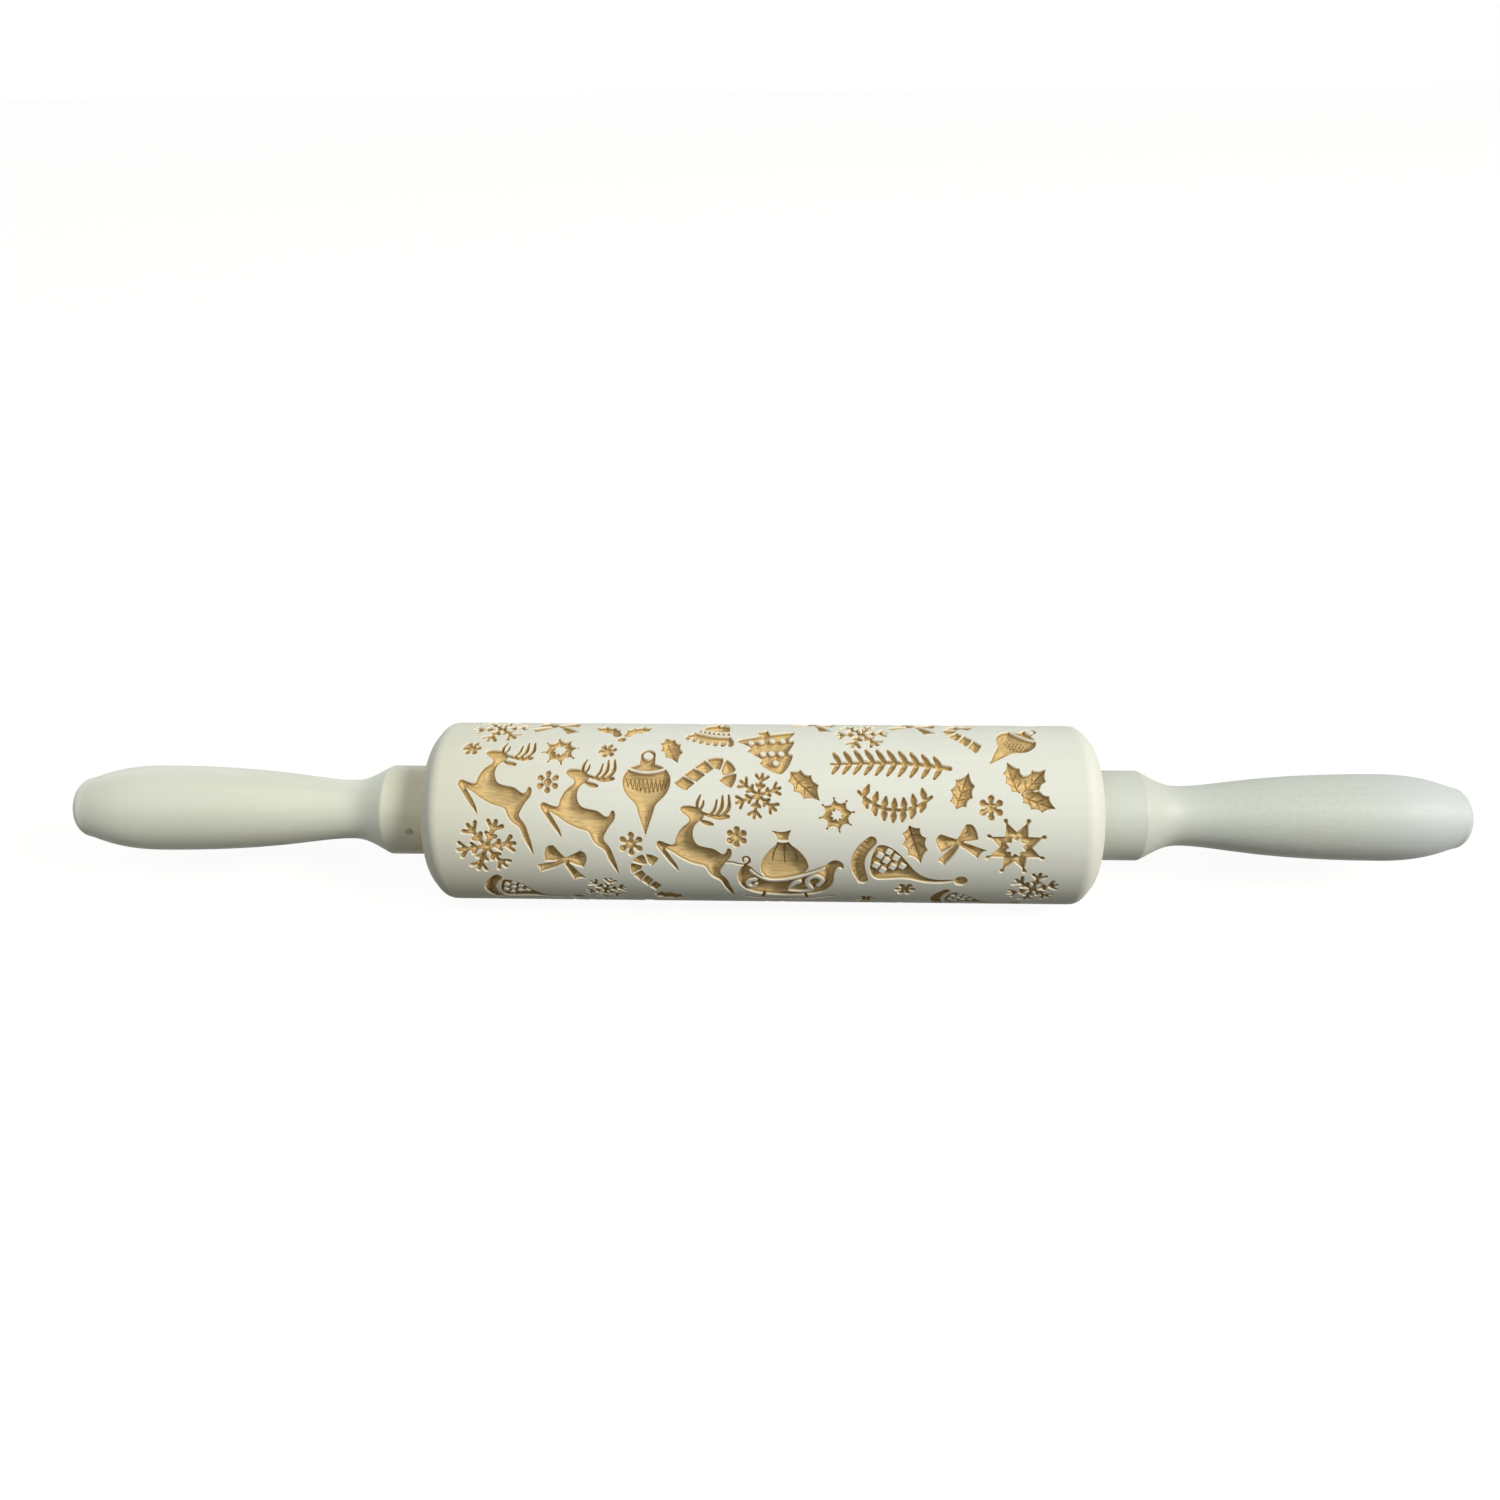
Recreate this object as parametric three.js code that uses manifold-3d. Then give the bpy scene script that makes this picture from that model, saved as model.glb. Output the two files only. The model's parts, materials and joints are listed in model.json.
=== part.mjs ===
// Rolling pin with an engraved barrel: the barrel turns freely on a steel axle, which two
// turned handles hold between their collars. Millimetres, +Z up. The pin lies along X with
// the middle of the barrel's underside at the origin.
import * as THREE from "three";
import { mergeVertices } from "three/addons/utils/BufferGeometryUtils.js";
import Module from "manifold-3d";

const wasm = await Module();
wasm.setup();

// Barrel
const BARREL_LENGTH = 164;
const BARREL_RADIUS = 22.5;
const BEVEL_LENGTH = 3.6;
const BEVEL_DEPTH = 4.2;
const BEVEL_SOFTENING = 1.8;
const BARREL_BORE_RADIUS = 5;

// Engraving, whose middle line faces someone who looks down on the pin at FACE_ANGLE
const ENGRAVING_DEPTH = 1.3;
const ENGRAVING_MARGIN = 0.5;
const FACE_ANGLE = 35;

// Axle, a plain steel rod
const AXLE_RADIUS = 4;
const AXLE_CHAMFER = 0.8;
const AXLE_SEAT_DEPTH = 45;

// Flanged nylon bush in each end of the barrel
const BUSH_RADIUS = 7.5;
const BUSH_LENGTH = 14;
const BUSH_FLANGE_RADIUS = 9.8;
const BUSH_FLANGE_THICKNESS = 1.4;

// Thrust washer between each bush and handle
const WASHER_RADIUS = 9.6;
const WASHER_THICKNESS = 1;

// Handle, from its collar to its end
const COLLAR_RADIUS = 11.3;
const COLLAR_LENGTH = 11.6;
const COLLAR_EDGE = 0.4;
const COVE_LENGTH = 10.4;
const NECK_RADIUS = 7.5;
const SWELL_LENGTH = 49.5;
const GRIP_RADIUS = 10.85;
const TAPER_LENGTH = 18;
const TIP_RADIUS = 7.7;
const TIP_ROUND_LENGTH = 3;
const TIP_FLAT_RADIUS = 4;

// How far the curves of the cove and the swell are drawn out from their ends, as shares of their length,
// and the share of the cove's depth that its first stretch heads for
const COVE_PULL = 0.4;
const COVE_FALL = 0.55;
const NECK_PULL = 0.2;
const GRIP_PULL = 0.63;

// Brad that pins each handle to the axle
const BRAD_RADIUS = 0.9;
const BRAD_TAIL = 3;
const BRAD_HEAD_DEPTH = 0.3;
const BRAD_PLACE = 4.6;
const LEFT_BRAD_ANGLE = -6;
const RIGHT_BRAD_ANGLE = 155;

// Clearances
const RUNNING_CLEARANCE = 0.08;
const PRESS_GAP = 0.06;
const FACE_GAP = 0.05;
const END_FLOAT = 0.2;
const COLLAR_GAP = 0.5;
const BORE_END_GAP = 0.8;
const BRAD_GAP = 0.15;

// Facets
const BARREL_SIDES = 36;
const TURNED_SIDES = 32;
const BRAD_SIDES = 12;
const CORNER_STEPS = 3;
const CURVE_STEPS = 6;

// The flat sheet that the ornaments are drawn on, fitted to the barrel's straight length and girth
const SHEET_LENGTH = 152.2;
const SHEET_WIDTH = 141;

// Places that follow from the sizes
const AXIS_HEIGHT = BARREL_RADIUS * Math.cos(Math.PI / BARREL_SIDES);
const BARREL_END = BARREL_LENGTH / 2;
const COLLAR_FACE = BARREL_END + COLLAR_GAP;
const WASHER_FACE = COLLAR_FACE - FACE_GAP;
const FLANGE_FACE = WASHER_FACE - WASHER_THICKNESS - END_FLOAT;
const FLANGE_SEAT = FLANGE_FACE - BUSH_FLANGE_THICKNESS - FACE_GAP;
const BUSH_INNER_END = FLANGE_FACE - BUSH_FLANGE_THICKNESS - BUSH_LENGTH;
const NECK_PLACE = COLLAR_LENGTH + COVE_LENGTH;
const GRIP_PLACE = NECK_PLACE + SWELL_LENGTH;
const TIP_PLACE = GRIP_PLACE + TAPER_LENGTH;
const HANDLE_LENGTH = TIP_PLACE + TIP_ROUND_LENGTH;
const ENGRAVED_LENGTH = BARREL_LENGTH - 2 * (BEVEL_LENGTH + BEVEL_SOFTENING + ENGRAVING_MARGIN);
const ENGRAVED_RADIUS = BARREL_RADIUS - ENGRAVING_DEPTH;

const paleWood = new THREE.MeshStandardMaterial({ color: 0xe8e4d6, roughness: 0.55, metalness: 0 });
const handleWood = new THREE.MeshStandardMaterial({ color: 0xdedfd2, roughness: 0.5, metalness: 0 });
const steel = new THREE.MeshStandardMaterial({ color: 0x9a9ca0, roughness: 0.3, metalness: 1 });
const nylon = new THREE.MeshStandardMaterial({ color: 0xf0eee8, roughness: 0.45, metalness: 0 });

const point = (along, radius) => new THREE.Vector2(radius, along);

// A closed solid from any geometry: shared corners merged, collapsed triangles dropped.
function solidOf(geometry) {
  const bare = new THREE.BufferGeometry();
  bare.setAttribute("position", geometry.getAttribute("position"));
  bare.setIndex(geometry.getIndex());
  const merged = mergeVertices(bare, 1e-4);
  const corners = merged.getIndex().array;
  const kept = [];
  for (let i = 0; i < corners.length; i += 3) {
    const [a, b, c] = [corners[i], corners[i + 1], corners[i + 2]];
    if (a !== b && b !== c && c !== a) kept.push(a, b, c);
  }
  const made = new wasm.Manifold(new wasm.Mesh({
    numProp: 3,
    vertProperties: merged.getAttribute("position").array,
    triVerts: new Uint32Array(kept),
  }));
  return made;
}

function geometryOf(solid) {
  const mesh = solid.getMesh();
  const geometry = new THREE.BufferGeometry();
  geometry.setAttribute("position", new THREE.BufferAttribute(mesh.vertProperties, mesh.numProp));
  geometry.setIndex(new THREE.BufferAttribute(mesh.triVerts, 1));
  geometry.computeVertexNormals();
  return geometry;
}

// A turned piece along X. Its outline runs clockwise round the section, seen with X to the
// right and the radius up, and either starts and ends on the axis or closes on itself.
function turned(outline, sides = TURNED_SIDES) {
  const geometry = new THREE.LatheGeometry(outline, sides, Math.PI / sides);
  return geometry.rotateZ(-Math.PI / 2);
}

function ring(from, to, inner, outer, sides = TURNED_SIDES) {
  return turned([
    point(from, inner), point(from, outer), point(to, outer), point(to, inner), point(from, inner),
  ], sides);
}

// A corner of an outline, cut back by a curve that starts and stops a given reach from it.
function softCorner(before, corner, after, reach) {
  const start = before.clone().sub(corner).setLength(reach).add(corner);
  const stop = after.clone().sub(corner).setLength(reach).add(corner);
  return new THREE.QuadraticBezierCurve(start, corner, stop).getPoints(CORNER_STEPS);
}

function plainBarrel() {
  const flangeBore = BUSH_FLANGE_RADIUS + PRESS_GAP;
  const bushBore = BUSH_RADIUS + PRESS_GAP;
  const bushSeat = BUSH_INNER_END - FACE_GAP;
  const bevelStart = point(BARREL_END - BEVEL_LENGTH, BARREL_RADIUS);
  const bevelStop = point(BARREL_END, BARREL_RADIUS - BEVEL_DEPTH);
  const right = [
    ...softCorner(point(0, BARREL_RADIUS), bevelStart, bevelStop, BEVEL_SOFTENING),
    ...softCorner(bevelStart, bevelStop, point(BARREL_END, flangeBore), BEVEL_SOFTENING),
    point(BARREL_END, flangeBore),
    point(FLANGE_SEAT, flangeBore),
    point(FLANGE_SEAT, bushBore),
    point(bushSeat, bushBore),
    point(bushSeat, BARREL_BORE_RADIUS),
  ];
  const left = right.map(({ x: radius, y: along }) => point(-along, radius)).reverse();
  return turned([...left, ...right, left[0].clone()], BARREL_SIDES);
}

// Ornaments, drawn flat in millimetres with x along the barrel and y round it.
function loop(...values) {
  const corners = [];
  for (let i = 0; i < values.length; i += 2) corners.push(new THREE.Vector2(values[i], values[i + 1]));
  return corners;
}

// The right half of an outline from bottom to top, and its mirror image.
function bothSides(...values) {
  const right = loop(...values);
  const left = right.filter(({ x }) => x > 0).map(({ x, y }) => new THREE.Vector2(-x, y));
  return [...right, ...left.reverse()];
}

const turns = (count) => Array.from({ length: count }, (_, k) => (2 * Math.PI * k) / count);

// Arms round a centre: half an arm's outline, given along it and aside, from its root to its tip.
function rayed(count, ...values) {
  const half = loop(...values);
  const below = half.map(({ x, y }) => new THREE.Vector2(x, -y));
  const above = half.filter(({ y }) => y > 0).reverse();
  const centre = new THREE.Vector2();
  return turns(count).flatMap((turn) => [...below, ...above].map(
    (corner) => corner.clone().rotateAround(centre, turn),
  ));
}

function disc(x, y, radius, corners) {
  return turns(corners).map((turn) => new THREE.Vector2(radius, 0).rotateAround(new THREE.Vector2(), turn)
    .add(new THREE.Vector2(x, y)));
}

function moved(outline, size, turn, x, y) {
  const place = new THREE.Vector2(x, y);
  const angle = THREE.MathUtils.degToRad(turn);
  return outline.map((corner) => corner.clone().multiplyScalar(size).rotateAround(new THREE.Vector2(), angle)
    .add(place));
}

const LEAF = bothSides(0, -4.6, 2, -3.3, 1.6, -1.8, 2.6, -0.8, 1.8, 0.5, 2.2, 2, 1, 2.8, 0, 4.7);

// Each ornament is a list of shapes, and each shape an outline followed by what stays standing in it.
const ORNAMENTS = {
  reindeer: [
    [loop(
      -3.4, 10.9, -4.4, 10.1, -2.3, 8.1, -2.5, 6.8, -4.2, 5.3, -5.8, 1.5, -9.2, 2.3, -9.8, 1.5, -8.6, -0.8,
      -4.7, -6.2, -5.1, -4.1, -7.5, -0.1, -4.1, -2.3, 1.3, -4.5, 2.2, -6.4, 5.1, -9.3, 6, -12, 8.3, -16.4,
      7.3, -10.5, 6.5, -8.1, 5.1, -6.4, 5.6, -4.8, 7.7, -0.6, 7.1, 0, 6.4, -0.7, 3.7, 0.5, -0.4, 1.9,
      -1.2, 3.9, -0.7, 6.3, 1, 7.6, 1.3, 8.8, -1.4, 10.9,
    )],
    [loop(
      0.2, 8.9, 4.8, 8, 6.9, 7.6, 7.1, 8.4, 6.2, 8.7, 8.1, 13.2, 5.3, 8.9, 4.6, 9, 6.4, 13,
      3.7, 9.2, 0.5, 9.8,
    )],
    [loop(-0.9, 10.6, 0.3, 10.1, 0.6, 13.1)],
  ],
  snowflake: [[rayed(6, 1.2, 0.69, 4.4, 1.6, 7, 0)]],
  star: [[rayed(8, 3.6, 1.49, 7.6, 0), disc(0, 0, 1.9, 6)]],
  hollyLeaf: [[LEAF]],
  hollySprig: [
    [moved(LEAF, 1, 17, -2.9, 2)],
    [moved(LEAF, 1, -45, 1.8, 1.1)],
    [moved(LEAF, 1, -114, 2.6, -4.1)],
  ],
  bow: [[loop(
    0, -0.7, 1.6, -1, 6.9, -5.4, 5, -5.6, 3.5, -6.8, -0.1, -1.4, -6.1, -5.6, -6.6, -4.2, -7.5, -3.2,
    -1.6, -1, -5.5, -1.3, -6.1, 1.4, -5.5, 3.6, -3.8, 4.1, 0, 1.2, 3.8, 4.1, 5.5, 3.6, 6.1, 1.4, 5.5, -1.3,
  )]],
  bauble: [
    [bothSides(0, -12.2, 2.7, -4, 4.6, -2.2, 5.7, 0.5, 5.5, 3, 4.3, 4.7, 1.3, 6.1, 1, 7.4)],
    [disc(0, 8.7, 2.15, 8), disc(0, 8.8, 1.05, 4)],
  ],
  candyCane: [[loop(
    -1.9, -9, 1.9, -8.6, 1.9, 0, 3.3, 1.4, 4.7, 0, 4.8, -1.2, 8.5, -0.7, 7, 3.7, 3.3, 5.2,
    -0.4, 3.7, -1.9, 0,
  )]],
  bell: [
    [bothSides(0, -6, 1.8, -6.2, 4.2, -5.2, 6.1, -3.6, 4.3, -1.4, 3.4, 1.6, 3, 4.2, 1.2, 5.6)],
    [disc(0, 6.3, 1.2, 6)],
  ],
  firTree: [[
    bothSides(1.3, -7.2, 1.3, -5.1, 6.8, -4.8, 4.4, -1.1, 5.6, -0.8, 3.1, 3.2, 4, 3.8, 0, 8.2),
    disc(-2.6, -2.2, 0.8, 4),
    disc(2.6, -2.2, 0.8, 4),
    disc(0, 2, 0.8, 4),
  ]],
  sleigh: [
    [
      loop(
        -11.8, 5.8, -13, 2.4, -11.6, -2.4, -8, -5.4, -2.4, -6.5, 4.4, -6.5, 9.4, -4.6, 12, -0.6, 12.2, 4.4,
        14.5, 5.4, 14.5, 7.2, 12.2, 8.2, 9.4, 6, 5.7, 4.6, 5.4, 7.2, 3.2, 10.6, 0.4, 12.8, 0.9, 16.4,
        -1.4, 15.8, -4.1, 16.2, -2.6, 12.8, -5.2, 10.2, -7.1, 6.4, -6.6, 3.4, -9.8, 6.2,
      ),
      loop(-6, -2.6, 0.6, -4.4, 6, -3.6, 9.4, 1.4, 6, 1.8, 4, -1.6, -6, -1.2),
    ],
    [loop(-11.6, -7, -8.4, -9.2, 8, -9.2, 12.6, -7, 8, -8.2, -8.4, -8.2)],
    [loop(-6.6, -5.8, -5.4, -5.8, -6, -8.6, -7.2, -8.6)],
    [loop(4.4, -6.2, 5.6, -6.2, 6.2, -8.6, 5, -8.6)],
  ],
  bobbleCap: [
    [loop(-3.8, 7.4, -7.4, 4.2, -8.2, -0.6, -6.3, -5.6, -4, -5, -5, -0.4, -4.4, 2.7, -2.3, 5.3)],
    [
      loop(
        -2.2, 4.8, -0.4, 5.2, 2.4, 3.9, 5, 1.3, 7.4, -1.9, 10.4, -3.9, 17.4, -4.3, 17.4, -5.4,
        9.2, -5.5, -2.4, -4.6, -3.6, -0.6,
      ),
      disc(-0.6, 2.3, 1, 4),
      disc(1.4, -0.3, 1, 4),
    ],
    [disc(18.4, -4.9, 1.7, 6)],
  ],
};

// Where each ornament stands on the sheet: along, round, size, turn in degrees.
const PLACES = {
  reindeer: [
    [-62, 5, 1, 0], [-42, -0.5, 1, 0], [-14.5, -9.5, 1, 0], [-58, 54, 1, 0], [-35, 52, 1, 0],
  ],
  snowflake: [
    [-65, -9, 0.95, 8], [-64.5, 25.5, 0.9, 10], [24.5, 23.5, 0.85, 6], [64.5, 57, 0.9, 4],
    [-45, -38, 0.95, 0], [4.5, -37.5, 0.85, 15], [36.5, -55.5, 0.9, 10], [65.5, -21, 0.8, 20],
    [66.5, -57.5, 0.8, 0],
  ],
  star: [
    [60, -8, 1, 22], [35.5, -37, 0.85, 10], [-62.5, -61, 0.7, 0],
  ],
  bauble: [
    [-27, 6, 1, 0], [61, 20, 0.85, -42], [-13.5, 46, 0.95, 12], [-10, -45, 0.95, -8],
  ],
  candyCane: [
    [-12.8, 11.5, 0.95, -48], [47, 23, 0.9, 42], [-29, -16.5, 0.8, 40], [33.5, 63.5, 0.75, -60],
    [64, -38, 0.9, 14], [-33, -58, 0.8, 60],
  ],
  bell: [
    [-11.5, 24, 1, -14], [-63, -44, 1, 10], [51.5, -39, 0.85, -12],
  ],
  firTree: [
    [2.5, 17.5, 1.05, -163], [33, 46, 1.1, 8], [20.5, -43.5, 1.05, 4],
  ],
  hollyLeaf: [
    [-21.5, 16.5, 1, -158], [10.5, 6.5, 1.1, -136], [47.5, 5.5, 1.05, -20], [36.5, -7.5, 1.1, -162],
    [-22, -26.5, 0.95, -110], [-22, 61.5, 1.05, 30], [21, -61.5, 1.05, 60],
  ],
  hollySprig: [
    [62.5, 7, 0.95, 0], [64, 36, 0.95, 20], [-27.5, -38.5, 0.95, 150],
  ],
  bow: [
    [-46.5, -12.5, 0.85, -12], [46.5, -6.8, 0.82, 22], [38, 29.5, 0.85, -12], [13.5, 30.5, 0.8, -20],
    [-50.5, 28, 0.85, 0], [49.5, 34.5, 0.7, 10], [-45.5, -54, 0.9, 8], [53, -56, 0.9, -10],
  ],
  sleigh: [
    [6.5, -19, 0.9, 0], [8, 52, 0.95, 0],
  ],
  bobbleCap: [
    [29.6, -13, 1, 0], [-60.5, -23.5, 0.85, 0], [44.5, 51, 0.8, -16], [48, -27, 0.8, 4],
  ],
};

// A straight cutter through the barrel's skin for each shape of an ornament, aimed at the axis.
function cutters(name, along, round, size, turn) {
  const stretch = ENGRAVED_LENGTH / SHEET_LENGTH;
  const aim = THREE.MathUtils.degToRad(FACE_ANGLE - 90) + (2 * Math.PI * round) / SHEET_WIDTH;
  const aimed = ({ x, y }) => new THREE.Vector2(
    (along + x) * stretch,
    BARREL_RADIUS * Math.sin((2 * Math.PI * y) / SHEET_WIDTH),
  );
  return ORNAMENTS[name].map((outlines) => {
    const [outside, ...standing] = outlines.map((outline) => moved(outline, size, turn, 0, 0).map(aimed));
    const shape = new THREE.Shape(outside);
    shape.holes = standing.map((corners) => new THREE.Path(corners));
    const prism = new THREE.ExtrudeGeometry(shape, { depth: BARREL_RADIUS, bevelEnabled: false });
    return solidOf(prism.translate(0, 0, BARREL_RADIUS / 2).rotateX(aim));
  });
}

// The barrel with every ornament sunk to one depth below its surface.
function barrel() {
  const end = ENGRAVED_LENGTH / 2 + ENGRAVING_MARGIN;
  const skin = solidOf(ring(-end, end, ENGRAVED_RADIUS, 2 * BARREL_RADIUS, BARREL_SIDES));
  const sunk = Object.entries(PLACES)
    .flatMap(([name, places]) => places.flatMap((place) => cutters(name, ...place)))
    .reduce((sum, next) => sum.add(next));
  return geometryOf(solidOf(plainBarrel()).subtract(sunk.intersect(skin)));
}

function axle() {
  const end = COLLAR_FACE + AXLE_SEAT_DEPTH;
  const rod = turned([
    point(-end, 0),
    point(-end, AXLE_RADIUS - AXLE_CHAMFER),
    point(-end + AXLE_CHAMFER, AXLE_RADIUS),
    point(end - AXLE_CHAMFER, AXLE_RADIUS),
    point(end, AXLE_RADIUS - AXLE_CHAMFER),
    point(end, 0),
  ]);
  const leftHole = bradHole(LEFT_BRAD_ANGLE).translate(-COLLAR_FACE - BRAD_PLACE, 0, 0);
  const rightHole = bradHole(RIGHT_BRAD_ANGLE).translate(COLLAR_FACE + BRAD_PLACE, 0, 0);
  return geometryOf(solidOf(rod).subtract(solidOf(leftHole)).subtract(solidOf(rightHole)));
}

function bush() {
  const bore = AXLE_RADIUS + RUNNING_CLEARANCE;
  const flangeBack = FLANGE_FACE - BUSH_FLANGE_THICKNESS;
  return turned([
    point(BUSH_INNER_END, bore),
    point(BUSH_INNER_END, BUSH_RADIUS),
    point(flangeBack, BUSH_RADIUS),
    point(flangeBack, BUSH_FLANGE_RADIUS),
    point(FLANGE_FACE, BUSH_FLANGE_RADIUS),
    point(FLANGE_FACE, bore),
    point(BUSH_INNER_END, bore),
  ]);
}

function washer() {
  return ring(WASHER_FACE - WASHER_THICKNESS, WASHER_FACE, AXLE_RADIUS + PRESS_GAP, WASHER_RADIUS);
}

// A cylinder across the axis, driven in from -Y and then turned about X.
function crossPin(radius, head, tail, angle) {
  const pin = new THREE.CylinderGeometry(radius, radius, head + tail, BRAD_SIDES);
  return pin.translate(0, (tail - head) / 2, 0).rotateX(THREE.MathUtils.degToRad(angle));
}

function brad(angle) {
  return crossPin(BRAD_RADIUS, COLLAR_RADIUS - BRAD_HEAD_DEPTH, AXLE_RADIUS + BRAD_TAIL, angle);
}

function bradHole(angle) {
  const radius = BRAD_RADIUS + BRAD_GAP;
  const head = COLLAR_RADIUS + 1;
  return crossPin(radius, head, AXLE_RADIUS + BRAD_TAIL + BRAD_GAP, angle);
}

// The handle's outside from collar to tip: a straight collar, a hollow cove down to the neck,
// a long swell to the grip, and a taper to a rounded tip with a small flat.
function handleOutside() {
  const coveRun = COVE_LENGTH * COVE_PULL;
  const coveFall = (COLLAR_RADIUS - NECK_RADIUS) * COVE_FALL;
  const taperSlope = (2 * (GRIP_RADIUS - TIP_RADIUS)) / TAPER_LENGTH;
  const curves = [
    new THREE.CubicBezierCurve(
      point(COLLAR_LENGTH, COLLAR_RADIUS),
      point(COLLAR_LENGTH + coveRun, COLLAR_RADIUS - coveFall),
      point(NECK_PLACE - coveRun, NECK_RADIUS),
      point(NECK_PLACE, NECK_RADIUS),
    ),
    new THREE.CubicBezierCurve(
      point(NECK_PLACE, NECK_RADIUS),
      point(NECK_PLACE + SWELL_LENGTH * NECK_PULL, NECK_RADIUS),
      point(GRIP_PLACE - SWELL_LENGTH * GRIP_PULL, GRIP_RADIUS),
      point(GRIP_PLACE, GRIP_RADIUS),
    ),
    new THREE.CubicBezierCurve(
      point(GRIP_PLACE, GRIP_RADIUS),
      point(GRIP_PLACE + TAPER_LENGTH / 2, GRIP_RADIUS),
      point(TIP_PLACE - TAPER_LENGTH / 4, TIP_RADIUS + (taperSlope * TAPER_LENGTH) / 4),
      point(TIP_PLACE, TIP_RADIUS),
    ),
  ];
  const outline = [
    point(0, COLLAR_RADIUS - COLLAR_EDGE),
    point(COLLAR_EDGE, COLLAR_RADIUS),
  ];
  for (const curve of curves) outline.push(...curve.getPoints(CURVE_STEPS).slice(0, -1));
  for (let step = 0; step <= CURVE_STEPS; step++) {
    const turn = (step / CURVE_STEPS) * (Math.PI / 2);
    outline.push(point(
      TIP_PLACE + TIP_ROUND_LENGTH * Math.sin(turn),
      TIP_FLAT_RADIUS + (TIP_RADIUS - TIP_FLAT_RADIUS) * Math.cos(turn),
    ));
  }
  return outline;
}

// A handle along +X with its collar face at X = 0, bored for the axle and the brad.
function handle(bradAngle) {
  const bore = AXLE_RADIUS + PRESS_GAP;
  const boreEnd = AXLE_SEAT_DEPTH + BORE_END_GAP;
  const body = turned([
    point(boreEnd, 0),
    point(boreEnd, bore),
    point(0, bore),
    ...handleOutside(),
    point(HANDLE_LENGTH, 0),
  ]);
  const hole = bradHole(bradAngle).translate(BRAD_PLACE, 0, 0);
  return geometryOf(solidOf(body).subtract(solidOf(hole)));
}

function mesh(name, geometry, material) {
  const made = new THREE.Mesh(geometry, material);
  made.name = name;
  return made;
}

const pin = new THREE.Group();
pin.position.z = AXIS_HEIGHT;
pin.add(mesh("barrel", barrel(), paleWood));
pin.add(mesh("axle", axle(), steel));

// The left end is the right end turned half round about Z, so an angle about X turns over.
const ends = [
  { side: "right", facing: 0, bradAngle: RIGHT_BRAD_ANGLE },
  { side: "left", facing: Math.PI, bradAngle: 180 - LEFT_BRAD_ANGLE },
];
for (const { side, facing, bradAngle } of ends) {
  const end = new THREE.Group();
  end.rotation.z = facing;
  end.add(mesh(`bush_${side}`, bush(), nylon));
  end.add(mesh(`thrust_washer_${side}`, washer(), nylon));
  const grip = mesh(`handle_${side}`, handle(bradAngle), handleWood);
  grip.position.x = COLLAR_FACE;
  const nail = mesh(`brad_${side}`, brad(bradAngle), steel);
  nail.position.x = COLLAR_FACE + BRAD_PLACE;
  end.add(grip, nail);
  pin.add(end);
}

const part = new THREE.Group();
part.add(pin);
export default part;
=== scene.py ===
import cmath
import json
import math

import bmesh
import bpy
import numpy as np
from bpy.props import FloatProperty, FloatVectorProperty, IntProperty, PointerProperty
from mathutils import Matrix, Vector
from mathutils.geometry import delaunay_2d_cdt, interpolate_bezier
from mathutils.kdtree import KDTree


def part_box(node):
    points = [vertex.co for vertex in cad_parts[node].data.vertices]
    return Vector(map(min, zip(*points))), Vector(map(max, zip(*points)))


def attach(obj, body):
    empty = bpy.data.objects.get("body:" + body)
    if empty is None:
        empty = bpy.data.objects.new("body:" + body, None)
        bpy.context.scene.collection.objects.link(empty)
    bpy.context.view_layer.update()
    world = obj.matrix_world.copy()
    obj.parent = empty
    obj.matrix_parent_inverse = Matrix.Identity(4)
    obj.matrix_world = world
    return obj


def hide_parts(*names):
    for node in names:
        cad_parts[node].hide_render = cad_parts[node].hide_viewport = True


bl_info = {
    "name": "Engraved Rolling Pin",
    "version": (1, 0, 0),
    "blender": (4, 5, 0),
    "location": "View3D > Sidebar > Rolling Pin",
    "description": "Builds a wooden rolling pin whose revolving barrel is engraved with winter ornaments",
    "category": "Object",
}

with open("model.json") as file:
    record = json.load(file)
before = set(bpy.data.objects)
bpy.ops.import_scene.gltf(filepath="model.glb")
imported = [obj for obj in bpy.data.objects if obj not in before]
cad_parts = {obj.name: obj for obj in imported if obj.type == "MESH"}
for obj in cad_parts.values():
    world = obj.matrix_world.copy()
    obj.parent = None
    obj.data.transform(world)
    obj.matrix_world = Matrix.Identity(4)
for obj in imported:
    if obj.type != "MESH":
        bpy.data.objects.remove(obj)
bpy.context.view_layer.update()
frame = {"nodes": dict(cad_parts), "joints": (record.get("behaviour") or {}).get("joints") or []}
AXIS = Vector(frame["joints"][0]["pos_m"])
MM = 0.001


def widest(node):
    """The greatest distance of a CAD node from the pin's axis."""
    corners = frame["nodes"][node].data.vertices
    return max(math.hypot(v.co.y - AXIS.y, v.co.z - AXIS.z) for v in corners)


def box_radius(node):
    """The radius of the widest cylinder about the pin's axis that stays inside a CAD node's box."""
    low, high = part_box(node)
    return min(*(high - AXIS).yz, *(AXIS - low).yz)


# Settings, each with its name, description, default and, where one fits, its unit or subtype
def setting(name, description, default, **kind):
    return FloatProperty(name=name, description=description, default=default, **kind)


def millimetres(name, description, size):
    return setting(name, description, size * MM, unit="LENGTH")


def degrees(name, description, turn):
    return setting(name, description, math.radians(turn), subtype="ANGLE")


def share_of(name, description, share):
    return setting(name, description, share, subtype="FACTOR", min=0, max=1)


def tint(name, description, *channels):
    return FloatVectorProperty(name=name, description=description, default=channels, subtype="COLOR")


# Drawing kit: flat outlines are lists of complex numbers in millimetres, x along the barrel, y round it
def path(text):
    """Points written as x,y words. A star after a word keeps that corner sharp."""
    points = []
    for word in text.split():
        x, y = word.rstrip("*").split(",")
        points += [complex(float(x), float(y))] * (2 if word.endswith("*") else 1)
    return points


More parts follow.
